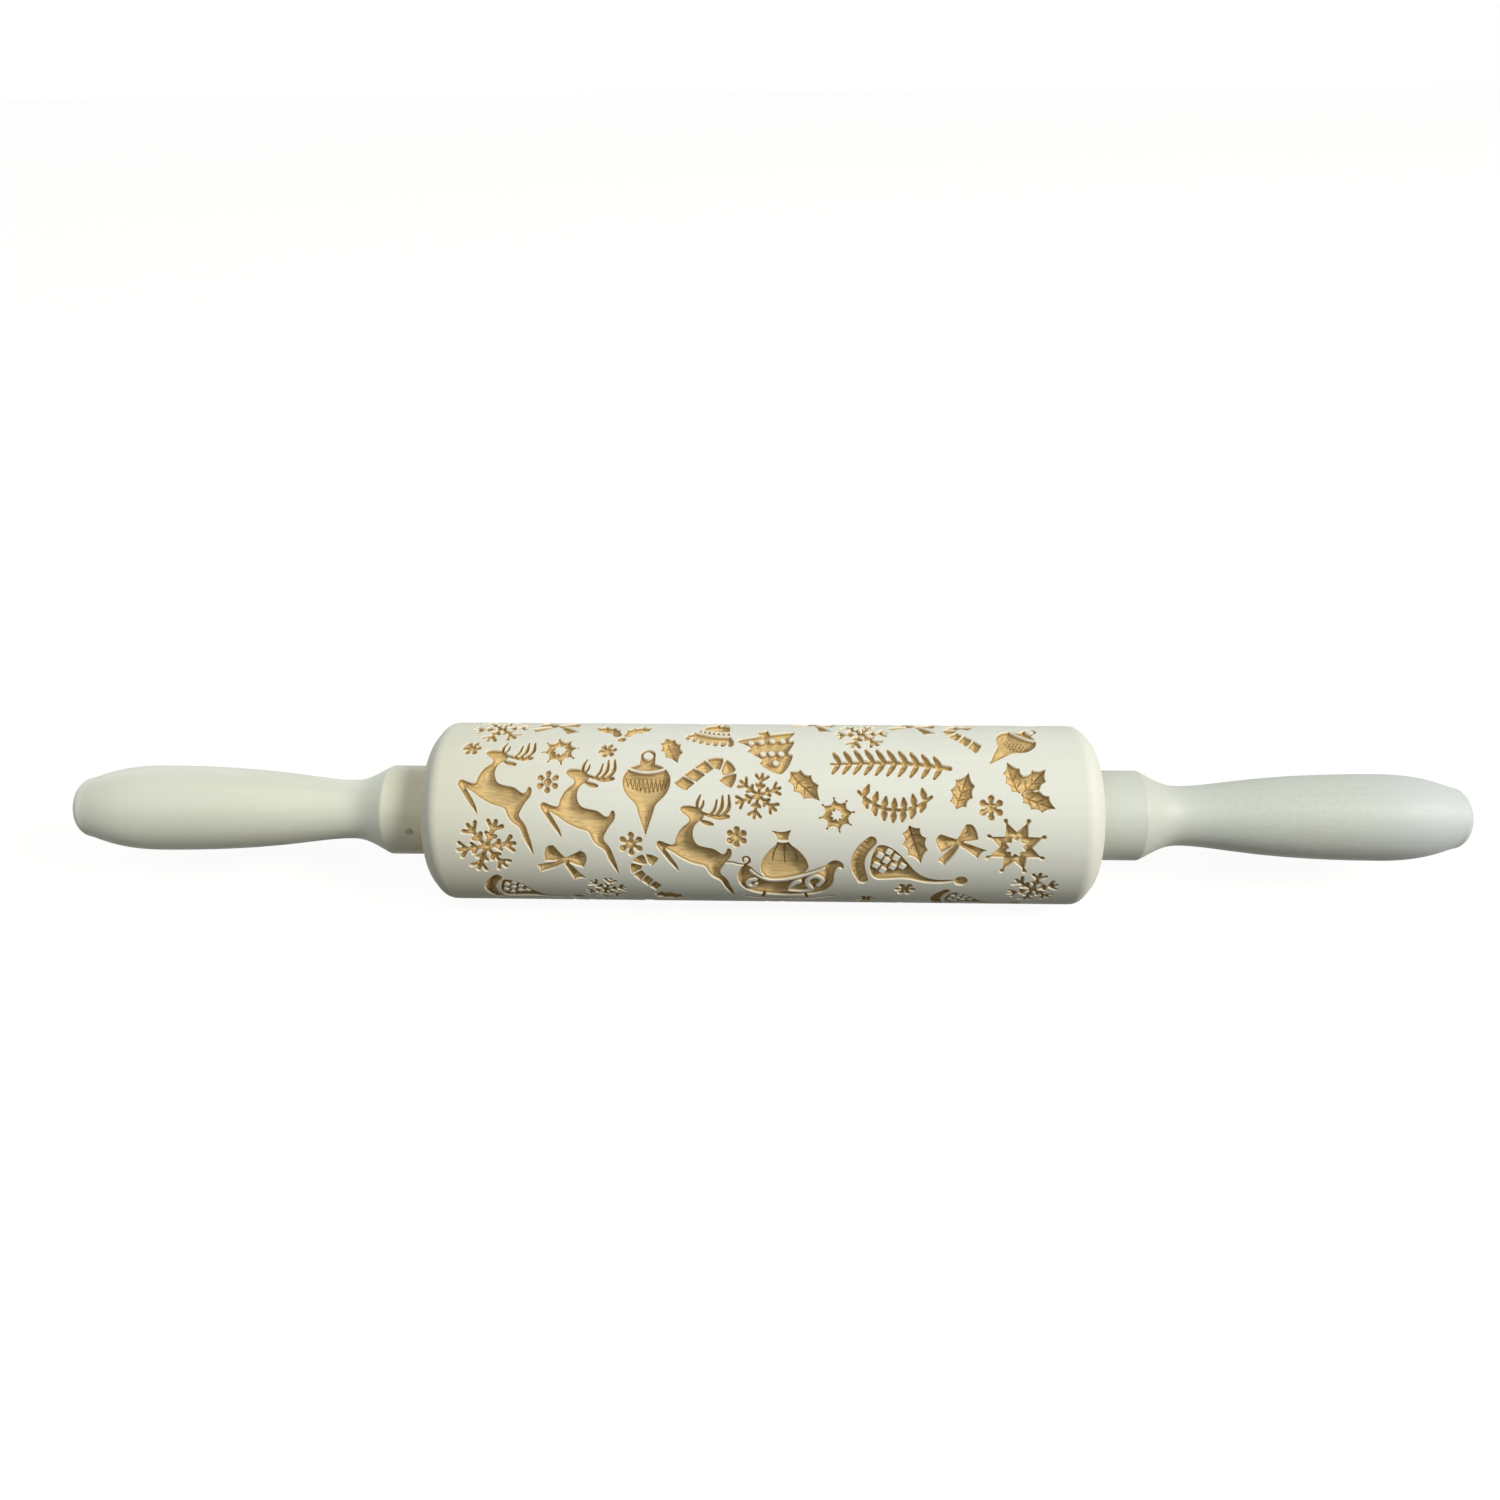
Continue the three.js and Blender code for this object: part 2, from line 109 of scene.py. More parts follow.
def softened(points, rounds=3, closed=True):
    """The outline with its corners cut, again and again, until it reads as a curve."""
    for _ in range(rounds):
        pairs = list(zip(points, points[1:]))
        if closed:
            pairs.append((points[-1], points[0]))
        cut = [p for a, b in pairs for p in (0.75 * a + 0.25 * b, 0.25 * a + 0.75 * b)]
        points = cut if closed else [points[0], *cut, points[-1]]
    return points


def round_end(left, right):
    """Points of the half circle from the left edge of a stroke to its right edge."""
    middle = (left + right) / 2
    return [middle + (left - middle) * cmath.rect(1, -math.pi * step / 5) for step in range(1, 5)]


def distances_along(points):
    return np.cumsum([0.0] + [abs(b - a) for a, b in zip(points, points[1:])])


def stroke(line, *widths):
    """A round-ended band along a line, whose width runs through the given ones."""
    points = softened(path(line) if isinstance(line, str) else line, 2, closed=False)
    points = [p for p, q in zip(points, points[1:]) if p != q] + [points[-1]]
    runs = distances_along(points)
    breadth = np.interp(runs / runs[-1], np.linspace(0, 1, len(widths)), widths)
    left, right = [], []
    for i, point in enumerate(points):
        ahead = points[min(i + 1, len(points) - 1)] - points[max(i - 1, 0)]
        aside = 1j * ahead / abs(ahead) * breadth[i] / 2
        left.append(point + aside)
        right.append(point - aside)
    return left + round_end(left[-1], right[-1]) + right[::-1] + round_end(right[0], left[0])


def mirrored(text):
    """A right half from top to bottom, and its mirror image."""
    half = path(text)
    return half + [complex(-p.real, p.imag) for p in reversed(half)]


def circled(arm, count):
    """Like arms round a centre, from half of one arm's outline from its root to its tip."""
    half = path(arm)
    whole = [p.conjugate() for p in half] + half[::-1]
    return [p * cmath.rect(1, 2 * math.pi * k / count) for k in range(count) for p in whole]


def ring(x, y, radius, steps=12):
    return [complex(x, y) + cmath.rect(radius, 2 * math.pi * k / steps) for k in range(steps)]


def moved(points, size=1, turn=0, place=0):
    spin = cmath.rect(size, math.radians(turn))
    return [p * spin + place for p in points]


class Ornament:
    """Outlines that are cut, islands that stay standing in them, and grooves drawn on their floor."""

    def __init__(self, cuts, islands=(), grooves=()):
        self.cuts = list(cuts)
        self.islands = list(islands)
        self.grooves = list(grooves)

    def placed(self, x, y, size=1, turn=0):
        groups = (self.cuts, self.islands, self.grooves)
        return Ornament(*([moved(p, size, turn, complex(x, y)) for p in group] for group in groups))


# Ornaments, each drawn round its own origin
def reindeer():
    body = path("""
        -3.9,11 -4.7,10.1 -3.6,8.9 -2.2,8 -2.4,6.9 -4.3,5.6 -5.6,2.9 -5.7,1.4 -7.4,1.8 -9.4,2.8
        -10.4,1.5 -8.6,-1 -6.8,-3.8 -4.7,-6.3* -5,-4.2 -6.3,-1.9 -7.7,0.2* -5.9,-0.9 -4.2,-2.3
        -1.2,-3.9 1.5,-4.4 2,-6.2 3.2,-8 5.2,-9.2 5.9,-12 8.3,-16.5* 8.1,-13.4 7.3,-10.4 6.6,-8.2
        4.9,-6.4 5.5,-5 6.6,-3 7.5,-2.1 8,-0.8 7.9,0.4 7.1,0.9 6.5,0.2 6.3,-0.8 5.4,-0.8 3.9,0.6
        1.4,1 -0.5,1.6 -1.4,3.9 -0.9,6.4 1.1,7.6 1.6,8.9 0.4,10.3 -1.4,11""")
    ear = path("0.3,7.8 1.8,7.6 3.4,7.1 4,6.4 2.9,5.9 1.4,6.3 0.3,7")
    antlers = [
        stroke("0.2,9.4 2.6,8.6 4.8,8.1 7,8.4", 1.0, 0.9, 1.5, 1.1),
        stroke("2.4,8.4 3.9,10 4.3,12.3", 0.7, 1.0, 0.6),
        stroke("4,8.5 5.6,10.4 5.6,13.3", 0.9, 1.3, 0.6),
        stroke("5.4,8.5 7.3,10.2 7.1,13.4", 0.9, 1.3, 0.7),
        stroke("-0.2,9.8 -0.5,11.6 0.4,13.4", 1.0, 1.1, 0.6),
        stroke("0.4,10 1,11 1.2,12", 0.8, 0.9, 0.6),
    ]
    return Ornament([softened(body), softened(ear), *antlers])


def six_arms(*parts):
    return Ornament([moved(part, turn=60 * k) for k in range(6) for part in parts])


def snowflake():
    twigs = [stroke("0,0 3,0 7.2,0", 1.4)]
    for root, tip, reach in ((2.3, 3.5, 1.2), (4.8, 6.6, 1.9)):
        twigs += [stroke(f"{root},0 {tip},{side}", 1.1, 1.4) for side in (reach, -reach)]
    return six_arms(*twigs)


def blossom_flake(reach=2.35, stem=1.3, bud=0.98):
    return six_arms(stroke(f"0.1,0 {reach},0", stem), ring(reach, 0, bud))


def small_flake():
    return blossom_flake(1.6, 1.1, 0.82)


def star(notch=3.6):
    points = softened(circled(f"{notch},{0.414 * notch}* 6.2,0.3* 6.6,0.62 7.5,0.55 7.6,0", 8), 2)
    return Ornament([points], [softened(circled("1.4,0.5* 2.4,0*", 8), 1)])


def small_star():
    return star(4.4)


LEAF = mirrored("0,4.7* 1.1,2.7 2.3,2* 1.9,0.6 2.7,-0.8* 1.7,-1.7 2,-3.3* 0.9,-3.6 0,-4.6*")
VEINS = ("0,-4 0,3.4", "0,-2.2 1.5,-1.1", "0,-2.2 -1.5,-1.1", "0,0 1.3,1.2", "0,0 -1.3,1.2")


def leaves(*places, berries=()):
    """Holly leaves, each given by its size, turn and place, and berries given by their places."""
    cuts = [moved(softened(LEAF), *place) for place in places]
    cuts += [ring(x, y, 1.25) for x, y in berries]
    return Ornament(cuts, (), [moved(path(vein), *place) for place in places for vein in VEINS])


def holly_leaf():
    return leaves((1, 0, 0))


def holly_sprig():
    return leaves((1, 17, -2.9 + 2j), (1, -45, 1.8 + 1.1j), (1, -114, 2.6 - 4.1j))


def berry_sprig():
    berries = (-1.3, -2.4), (1.4, -2.3), (0, -4.6)
    return leaves((0.9, 62, -4.2 + 0.6j), (0.9, -62, 4.2 + 0.6j), berries=berries)


def bow():
    loops = mirrored("0.2,1.2 1.9,2.6 3.8,4.2* 5.6,3.7 6.2,1.3 5.6,-1.4* 3.4,-1.2 1.8,-0.6 0.4,-0.7")
    tails = [
        path("0.2,-0.2 1.6,-0.5 4.4,-3.1 7,-5.4* 5,-5.6 3.5,-6.9* 1.6,-3.6 -0.3,-1.1"),
        path("-0.2,-0.2 -1.6,-0.5 -4.5,-1.7 -7.6,-3.2* -6.7,-4.2 -6.2,-5.7* -2.7,-3.6 0.3,-1.1"),
    ]
    folds = ("0.9,0.7 3.4,1.4", "1,0.2 3.6,0.2", "-0.9,0.7 -3.4,1.4", "-1,0.2 -3.6,0.2")
    return Ornament([softened(loops), *map(softened, tails)], (), map(path, folds))


def bauble():
    body = mirrored("""
        1.9,8.4 1.9,5.9* 2.6,5.7 4.6,4.6 5.9,2.4 5.7,-0.4 4.4,-2.6 2.4,-4.3 1.9,-6.4 0.9,-9.4 0,-12.2*""")
    collar = stroke("-4.1,4.5 -2,3.8 0,3.6 2,3.8 4.1,4.5", 0.4)
    flutes = [
        [complex(x, 2.2), complex(x + 0.5, 0.06 * x * x - 1.0), complex(x + 1, 2.2)] for x in range(-5, 5)
    ]
    return Ornament([softened(body), ring(0, 8.4, 1.95, 16)], [ring(0, 8.3, 1.1), collar], flutes)


def along_hook(distance, shank=9.0, bend=3.5):
    """A place and heading on a cane's middle line: a straight shank, then round the hook."""
    if distance < shank:
        return complex(0, distance - shank), 1j
    angle = (distance - shank) / bend
    return bend - bend * cmath.rect(1, -angle), 1j * cmath.rect(1, -angle)


def candy_cane(stripes=6, stripe=3.4, gap=0.1, half_width=1.8, slant=0.3):
    cuts = []
    for k in range(stripes):
        first = stripe * k + gap / 2
        last = stripe * (k + 1) - gap / 2
        corners = []
        for side, stops in ((half_width, (first, last)), (-half_width, (last, first))):
            for stop in np.linspace(*stops, 4):
                place, heading = along_hook(stop - side * slant)
                corners.append(place + heading * 1j * side)
        cuts.append(softened(corners, 1))
    return Ornament(cuts)


def bell():
    body = mirrored("0,5.6 1.7,5.5 3,4.2 3.4,1.6 4.3,-1.2 6.2,-3.3*")
    base = path("-6.2,-3.3* -3,-4.4 0,-4.8 3,-4.4 6.2,-3.3*")
    scallop = path("-0.72,0.9 0.72,0.9 0.85,-0.9 0,-1.6 -0.85,-0.9")
    hem = [moved(scallop, place=complex(x, 0.9 * (x / 6) ** 2 - 4.8)) for x in 1.8 * np.arange(-3, 4)]
    bands = [stroke("-3.6,0.6 0,0 3.6,0.6", 0.4), stroke("-4.4,-1.2 0,-2 4.4,-1.2", 0.4)]
    beads = [ring(x, 0.03 * x * x - 0.62, 0.32, 8) for x in (-3, -1.8, -0.6, 0.6, 1.8, 3)]
    loop = ring(0, 6.1, 1.3)
    cuts = [softened(body), softened(base), *(softened(scale, 2) for scale in hem), loop]
    return Ornament(cuts, [*bands, *beads, ring(0, 6.3, 0.55, 8)])


def fir_tree():
    edge = mirrored("""
        0,8.2 1.6,7.4 3.6,5 4.2,3.6 2.9,3.3 4.4,1.6 5.8,-0.2 5.6,-1 4.2,-1 6.2,-3 7.2,-4.2 6.6,-5
        4.2,-5 1.3,-5.2* 1.3,-7.2* 0,-7.2""")
    lights = path("0.4,4.9 -1.6,2.6 0.5,1.9 2.4,1.5 -3.2,-1.6 -0.9,-2.3 1.6,-2.6 4,-3")
    return Ornament([softened(edge)], [ring(p.real, p.imag, 0.6, 10) for p in lights])


def sleigh():
    body = path("""
        -12,6.2 -13.6,2.6 -12.4,-2.2 -8.6,-5.6 -2.6,-6.8 4.4,-6.8 10,-5 12.6,-0.8 12.4,3.6 13.6,5.8
        15,4.8 15,7.2 12.4,8.6 9.6,6.2 6,4.6 0.5,2.3 -4.6,1.6 -8,3.6 -9.8,6.4""")
    sack = path("""
        -6.9,3 -7.4,6.4 -5.4,10.4 -2.6,12.8 -2.8,14.6 -4.2,16.4* -1.4,15.9 1,16.6* 0.2,14.4
        0.5,12.8 3.4,10.8 5.6,7.4 5.8,4.2 0.5,2.2 -4.6,1.4""")
    runner = [
        stroke("-11.4,-7.4 -8.4,-8.8 0,-9.2 8,-8.8 12.6,-6.6", 1.0, 1.3, 1.3, 1.2),
        stroke("-6,-5.6 -6.6,-8.8", 1.2),
        stroke("5,-6 5.6,-8.8", 1.2),
    ]
    tie = stroke("-2.9,13.6 -1.2,13.2 0.6,13.6", 0.45)
    rim = stroke("-9.6,4.4 -7.2,1.9 -4.4,0.5 0.5,1.1 6,3.3 9.6,5.2", 0.55)
    scrolls = [
        stroke("8.4,-1.4 9.8,0.8 8,2.8 5.6,1.6 5.2,-1 7.2,-3.4 4.4,-4.8 0.6,-4.2", 0.9, 0.85, 1.0, 0.5),
        stroke("3.2,0.2 1.8,-0.6 0.8,-2.4", 1.2, 1.0, 0.5),
        stroke("-8.4,1 -10.4,0.4 -10.6,-1.8 -8.8,-2.4 -8.2,-1", 0.9, 0.8, 0.6),
    ]
    creases = ("-2.2,12.4 -3.6,9.4 -4,6", "-0.6,12.2 -0.8,9 -0.6,5.6", "0.6,12.2 2.2,9.4 2.8,6.4")
    return Ornament([softened(body), softened(sack), *runner], [tie, rim, *scrolls], map(path, creases))


def rein():
    line = "-0.9,0 2,0.4 4.4,-0.4 6,-0.4 6.8,0.8 6,1.9 4.8,1.4 5.1,0.4"
    return Ornament([stroke(line, 0.75, 0.7, 0.75, 0.8, 0.7)])


def bobble_cap():
    """A knitted cap on its side, with a ribbed brim and a long tail that ends in a bobble."""
    brim = stroke("-3.4,6.2 -6,3.4 -6.6,-0.4 -5,-4.8", 2.8, 3.4, 3.4, 2.8)
    crown = path("""
        -2.6,5.2 -0.4,5.6 2.4,4.2 5,1.4 7.4,-2 10.4,-4 13.6,-4.6 17.2,-4.2 17,-5.2 13.4,-6 9.2,-5.6
        5.4,-4.2 1.4,-4.6 -2.6,-4.8 -4,-0.6""")
    square = path("-0.65,-0.65 0.65,-0.65 0.65,0.65 -0.65,0.65")
    checks = path("-1.2,2.6 0.9,3.6 0.3,1.2 2.6,2 -2,-0.2 1.9,-0.6 -0.4,-1.6 4.2,-0.4")
    ribs = [moved(path("-9.2,0 -6.2,0"), turn=turn, place=1.4 + 0.4j) for turn in range(-40, 50, 10)]
    cuts = [brim, softened(crown), ring(18.4, -4.9, 1.7)]
    return Ornament(cuts, [moved(square, turn=-30, place=check) for check in checks], ribs)


def needle_pair(root, lean, reach, *widths):
    """Two needles that leave a stem on either side of the same root."""
    ways = complex(lean, reach), complex(lean, -reach)
    return [stroke([root, root + way / 2, root + way], *widths) for way in ways]


def fir_sprig():
    cuts = [stroke("-15,-1 -8,-0.2 0,0.4 8,0.2 14.5,-0.6", 0.9, 1.3, 1.5, 1.6)]
    for k in range(10):
        x = 2.8 * k - 12.8
        reach = 2.6 + 1.2 * math.cos(x / 11)
        cuts += needle_pair(complex(x, 0.4 - 0.006 * x * x), -0.55 * reach, reach, 1.3, 1.7, 1.0)
    return Ornament(cuts)


def garland():
    cuts = [stroke("-9,1.6 -6,-1 -2,-2.4 2,-2.4 6,-1 9,1.6", 1.1)]
    for k in range(-3, 4):
        x = 2.5 * k
        cuts += needle_pair(complex(x, 0.055 * x * x - 2.5), -0.3 * k, 2.8, 1.0, 2.1, 1.0)
    return Ornament(cuts)


# Where each ornament stands: along the barrel, round it from the line that faces the camera, size, turn
PLACES = {
    reindeer: [(-62, 5), (-42, -0.5), (-14.5, -9.5), (-58, 54), (-35, 52)],
    snowflake: [
        (-65, -9, 0.95, 8), (-0.5, 4, 0.75, 20), (-37.5, -23, 0.68, 12), (-64.5, 25.5, 0.9, 10),
        (24.5, 23.5, 0.85, 6), (64.5, 57, 0.9, 4), (-45, -38, 0.95), (4.5, -37.5, 0.85, 15),
        (-14.5, -63, 0.6), (36.5, -55.5, 0.9, 10), (65.5, -21, 0.8, 20), (66.5, -57.5, 0.8),
    ],
    small_flake: [
        (-70, 16.5), (-37, 16, 1, 10), (-5.5, -6, 1.15, 30), (26, -27.5, 1.1), (35, -21.5, 1.1),
        (-23, 37.5, 1.1), (23, 40, 1.1, 15), (-14.5, 33), (55, 65.5, 1.1), (-67, 65, 1.1), (21.5, 66.5),
        (-54.5, -34.5, 1.1), (-1.5, -64.5, 1.1), (45.5, -65.5, 1.1), (27, -32.5), (-9, 62.5, 1.1),
        (12.5, -66.5), (-26.5, -66, 1.1), (59.5, -66, 1.1),
    ],
    blossom_flake: [
        (-50.5, 7, 0.9, 30), (-30.5, -8, 0.95, 30), (54, 1.5, 0.95, 30), (-45.5, 40.5, 0.9, 10),
        (-46, 65, 0.9, 30), (2.5, 39.5, 0.9), (-49, -65, 0.95), (-19.5, -53, 0.85), (43, 61.5, 0.9),
        (-31, -47.5, 0.9),
    ],
    star: [(60, -8, 1, 22), (35.5, -37, 0.85, 10), (-62.5, -61, 0.7)],
    small_star: [(-48.5, 16, 0.62, 10), (18, -0.5, 0.58, 10), (-65.5, 38.5, 0.55, 6)],
    bauble: [(-27, 6), (61, 20, 0.85, -42), (-13.5, 46, 0.95, 12), (-10, -45, 0.95, -8)],
    candy_cane: [
        (-12.8, 11.5, 0.95, -48), (47, 23, 0.9, 42), (-29, -16.5, 0.8, 40), (33.5, 63.5, 0.75, -60),
        (64, -38, 0.9, 14), (-33, -58, 0.8, 60),
    ],
    bell: [(-11.5, 24, 1, -14), (-63, -44, 1, 10), (51.5, -39, 0.85, -12)],
    fir_tree: [(2.5, 17.5, 1.05, -163), (33, 46, 1.1, 8), (20.5, -43.5, 1.05, 4)],
    holly_leaf: [
        (-21.5, 16.5, 1, -158), (10.5, 6.5, 1.1, -136), (47.5, 5.5, 1.05, -20), (36.5, -7.5, 1.1, -162),
        (-22, -26.5, 0.95, -110), (-22, 61.5, 1.05, 30), (21, -61.5, 1.05, 60),
    ],
    holly_sprig: [(62.5, 7, 0.95), (64, 36, 0.95, 20), (-27.5, -38.5, 0.95, 150)],
    bow: [
        (-46.5, -12.5, 0.85, -12), (46.5, -6.8, 0.82, 22), (38, 29.5, 0.85, -12), (13.5, 30.5, 0.8, -20),
        (-50.5, 28, 0.85), (49.5, 34.5, 0.7, 10), (-45.5, -54, 0.9, 8), (53, -56, 0.9, -10),
    ],
    berry_sprig: [(-34, 24.5, 0.95), (6, -54.5, 0.95)],
    rein: [(-9, -12.8)],
    sleigh: [(6.5, -19, 0.9), (8, 52, 0.95)],
    bobble_cap: [(29.6, -13), (-60.5, -23.5, 0.85), (44.5, 51, 0.8, -16), (48, -27, 0.8, 4)],
    fir_sprig: [(31, 12.5, 0.95, -3)],
    garland: [(31.5, 3, 0.95, -4)],
}


def placed_ornaments():
    return [draw().placed(*place) for draw, places in PLACES.items() for place in places]


# Engraved skin, worked out on the flat sheet in millimetres. Contours are given by their distance beyond the
# wall and the spacing of their points, and steps and spacings by the distance between points.
SHEET_MERGE = 1e-4
SHARP_TURN = math.radians(35)
RIM_STEP = 0.42
CONTOURS = ((0, 0.24), (0.45, 0.36), (1.0, 0.55))
FLOOR_STEP = 0.85
GROUND_EVERY = 2
CLEAR_OF_RIM = 0.5
# Width of the painted highlight: a pale ring on the ground round every cut
HIGHLIGHT_RIM = 0.3
RIM_ROOM = 0.8
GROOVE_STEP = 0.35
GROOVE_SIDE = 0.28
GROOVE_CLEAR = 0.25
ENDS_AROUND = 96
SEAM_STEPS = 102


def turns_left(loop):
    return sum((a.conjugate() * b).imag for a, b in zip(loop, loop[1:] + loop[:1])) > 0


def leftward(loop):
    return loop if turns_left(loop) else loop[::-1]


def joined_rims(ornaments):
    """The engraving's edges as closed loops with the cut on their left: overlaps joined, islands left out."""
    points, faces, owners = [], [], []
    for number, ornament in enumerate(ornaments):
        for stands, loops in ((False, ornament.cuts), (True, ornament.islands)):
            for loop in loops:
                faces.append(range(len(points), len(points) + len(loop)))
                points += [Vector((p.real, p.imag)) for p in leftward(loop)]
                owners.append((number, stands))
    flat, _, triangles, _, _, sources = delaunay_2d_cdt(points, [], faces, 0, SHEET_MERGE, True)
    edges = set()
    for (a, b, c), source in zip(triangles, sources):
        cut = {owners[k][0] for k in source if not owners[k][1]}
        standing = {owners[k][0] for k in source if owners[k][1]}
        if cut - standing:
            edges |= {(a, b), (b, c), (c, a)}
    following = {}
    for a, b in edges:
        if (b, a) not in edges:
            following.setdefault(a, []).append(b)
    loops = []
    while following:
        corner = min(following)
        loop = []
        while corner in following:
            loop.append(complex(*flat[corner]))
            ways = following[corner]
            ahead = ways.pop()
            if not ways:
                del following[corner]
            corner = ahead
        loops.append(loop)
    return loops


def spaced(points, step, closed=True):
    """The same line with its points about a step apart, and its sharp corners kept."""
    count = len(points)
    corners = []
    for i, point in enumerate(points):
        before, after = points[i - 1], points[(i + 1) % count]
        if abs(cmath.phase((after - point) * (point - before).conjugate())) > SHARP_TURN:
            corners.append(i)
    if closed:
        corners = corners or [0]
        stops = corners[1:] + [corners[0] + count]
    else:
        corners = sorted({0, *corners} - {count - 1})
        stops = corners[1:] + [count - 1]
    result = []
    for start, stop in zip(corners, stops):
        run = [points[k % count] for k in range(start, stop + 1)]
        lengths = distances_along(run)
        steps = max(1, round(lengths[-1] / step))
        result += list(np.interp(np.arange(steps) * lengths[-1] / steps, lengths, run))
    return result if closed else result + [points[-1]]


class Rims:
    """The engraving's edges, with the way into the cut at each of their points."""

    def __init__(self, loops):
        self.loops = loops
        self.points = [p for loop in loops for p in loop]
        self.inward = []
        for loop in loops:
            for before, after in zip(loop[-1:] + loop[:-1], loop[1:] + loop[:1]):
                self.inward.append(1j * (after - before) / abs(after - before))
        self.tree = KDTree(len(self.points))
        for i, point in enumerate(self.points):
            self.tree.insert((point.real, point.imag, 0), i)
        self.tree.balance()

    def depth_in(self, point):
        """The distance to the nearest edge, below nought outside the cut."""
        _, nearest, distance = self.tree.find((point.real, point.imag, 0))
        inside = ((point - self.points[nearest]) * self.inward[nearest].conjugate()).real > 0
        return distance if inside else -distance

    def room(self, number, most):
        """How far a circle that touches an edge at one of its points can grow before it touches another."""
        point, inward = self.points[number], self.inward[number]
        room = most
        for place, _, distance in self.tree.find_range((point.real, point.imag, 0), 2 * most):
            across = ((complex(place.x, place.y) - point) * inward.conjugate()).real
            if across > SHEET_MERGE:
                room = min(room, distance**2 / (2 * across))
        return room


def contour_points(rims, wall):
    """Points along the foot of the walls, on the slope of the scoop and down the middle of narrow strokes."""
    found = {}
    for number, point in enumerate(rims.points):
        room = rims.room(number, wall + CONTOURS[-1][0])
        steps = [(wall + past, spacing) for past, spacing in CONTOURS if room > wall + past + spacing / 2]
        if room > wall / 3:
            steps.append((room, CONTOURS[max(0, len(steps) - 1)][1]))
        for distance, spacing in steps:
            place = point + rims.inward[number] * distance
            found.setdefault((spacing, round(place.real / spacing), round(place.imag / spacing)), place)
    return list(found.values())


def outer_points(rims):
    """Points on the ground a little way off the edges, which keep the painted highlight, a pale rim round the
    edges, narrow.
    """
    places = (point - way * HIGHLIGHT_RIM for point, way in zip(rims.points, rims.inward))
    return [place for place in places if rims.depth_in(place) < -RIM_ROOM * HIGHLIGHT_RIM]


def fill_points(rims, slope, half_length, half_girth):
    """A honeycomb of points, fine on the floors and coarse on the ground between the ornaments."""
    rise = FLOOR_STEP * math.sqrt(3) / 2
    rows = int(half_girth / rise)
    columns = int(half_length / FLOOR_STEP)
    points = []
    for row in range(-rows, rows + 1):
        for column in range(-columns, columns + 1):
            point = complex(FLOOR_STEP * (column + (row % 2) / 2), rise * row)
            if min(half_length - abs(point.real), half_girth - abs(point.imag)) < CLEAR_OF_RIM:
                continue
            depth = rims.depth_in(point)
            coarse = row % GROUND_EVERY == 0 and (column + row // GROUND_EVERY) % GROUND_EVERY == 0
            if depth > slope + CLEAR_OF_RIM / 2 or (coarse and depth < -CLEAR_OF_RIM):
                points.append(point)
    return points


def border_points(half_length, half_girth):
    """Even points along the sheet's four sides, alike on opposite ones so that they meet once rolled up."""
    around = np.linspace(-half_girth, half_girth, ENDS_AROUND + 1)
    along = np.linspace(-half_length, half_length, SEAM_STEPS + 1)[1:-1]
    ends = [complex(x, y) for x in (-half_length, half_length) for y in around]
    return ends + [complex(x, y) for x in along for y in (-half_girth, half_girth)]


class FlatSheet:
    """The engraving unrolled and cut into triangles: places, sunk depths and which triangles are engraved."""

    def __init__(self, barrel, half_length, half_girth):
        ornaments = placed_ornaments()
        wall = barrel.wall_width / MM
        slope = wall + CONTOURS[-1][0]
        rims = Rims([spaced(loop, RIM_STEP) for loop in joined_rims(ornaments)])
        points = list(rims.points)
        faces = []
        for loop in rims.loops:
            first = sum(map(len, faces))
            numbers = range(first, first + len(loop))
            faces.append(numbers if turns_left(loop) else numbers[::-1])
        edges, grooved = self.add_grooves(points, ornaments, rims)
        points += contour_points(rims, wall) + outer_points(rims)
        points += fill_points(rims, slope, half_length, half_girth)
        points += border_points(half_length, half_girth)
        flat = [Vector((p.real, p.imag)) for p in points]
        woven = delaunay_2d_cdt(flat, edges, faces, 0, SHEET_MERGE, True)
        self.places, _, self.triangles, sources, _, inside = woven
        self.engraved = [len(loops) % 2 == 1 for loops in inside]
        ground = (corners for corners, cut in zip(self.triangles, self.engraved) if not cut)
        surface = {corner for corners in ground for corner in corners}
        self.on_rim = [min(source, default=len(points)) < len(rims.points) for source in sources]
        self.depths = [0.0] * len(self.places)
        for i, place in enumerate(self.places):
            if i not in surface:
                groove = barrel.groove_depth if grooved.intersection(sources[i]) else 0
                self.depths[i] = sunk_depth(barrel, rims.tree.find((*place, 0))[2] * MM) + groove

    def add_grooves(self, points, ornaments, rims):
        """Adds the grooves' lines, with points on both sides that keep them narrow."""
        edges, grooved, sides = [], set(), []
        for line in (line for ornament in ornaments for line in ornament.grooves):
            line = spaced(line, GROOVE_STEP, closed=False)
            last = None
            for i, point in enumerate(line):
                if rims.depth_in(point) < GROOVE_CLEAR:
                    last = None
                    continue
                points.append(point)
                grooved.add(len(points) - 1)
                if last is not None:
                    edges.append((last, len(points) - 1))
                last = len(points) - 1
                ahead = line[min(i + 1, len(line) - 1)] - line[max(i - 1, 0)]
                aside = 1j * ahead / abs(ahead) * GROOVE_SIDE
                sides += [p for p in (point + aside, point - aside) if rims.depth_in(p) > GROOVE_CLEAR]
        points += sides
        return edges, grooved


def sunk_depth(barrel, distance):
    """How deep the engraving is at a distance from its nearest edge: a steep wall, then a scooped floor."""
    wall = min(1, distance / barrel.wall_width)
    beyond = max(0, distance - barrel.wall_width)
    return barrel.wall_depth * wall + barrel.scoop_depth * (1 - math.exp(-beyond / barrel.scoop_width))


# Mesh helpers
WELD = 1e-6
SHARP_EDGE = math.radians(30)
CORNER_STEPS = 5
SMALL_CORNER_STEPS = 3
CURVE_STEPS = 14
SWELL_STEPS = 24
TIP_STEPS = 8


def mesh_of(name, bm):
    mesh = bpy.data.meshes.new(name)
    bm.to_mesh(mesh)
    bm.free()
    return mesh


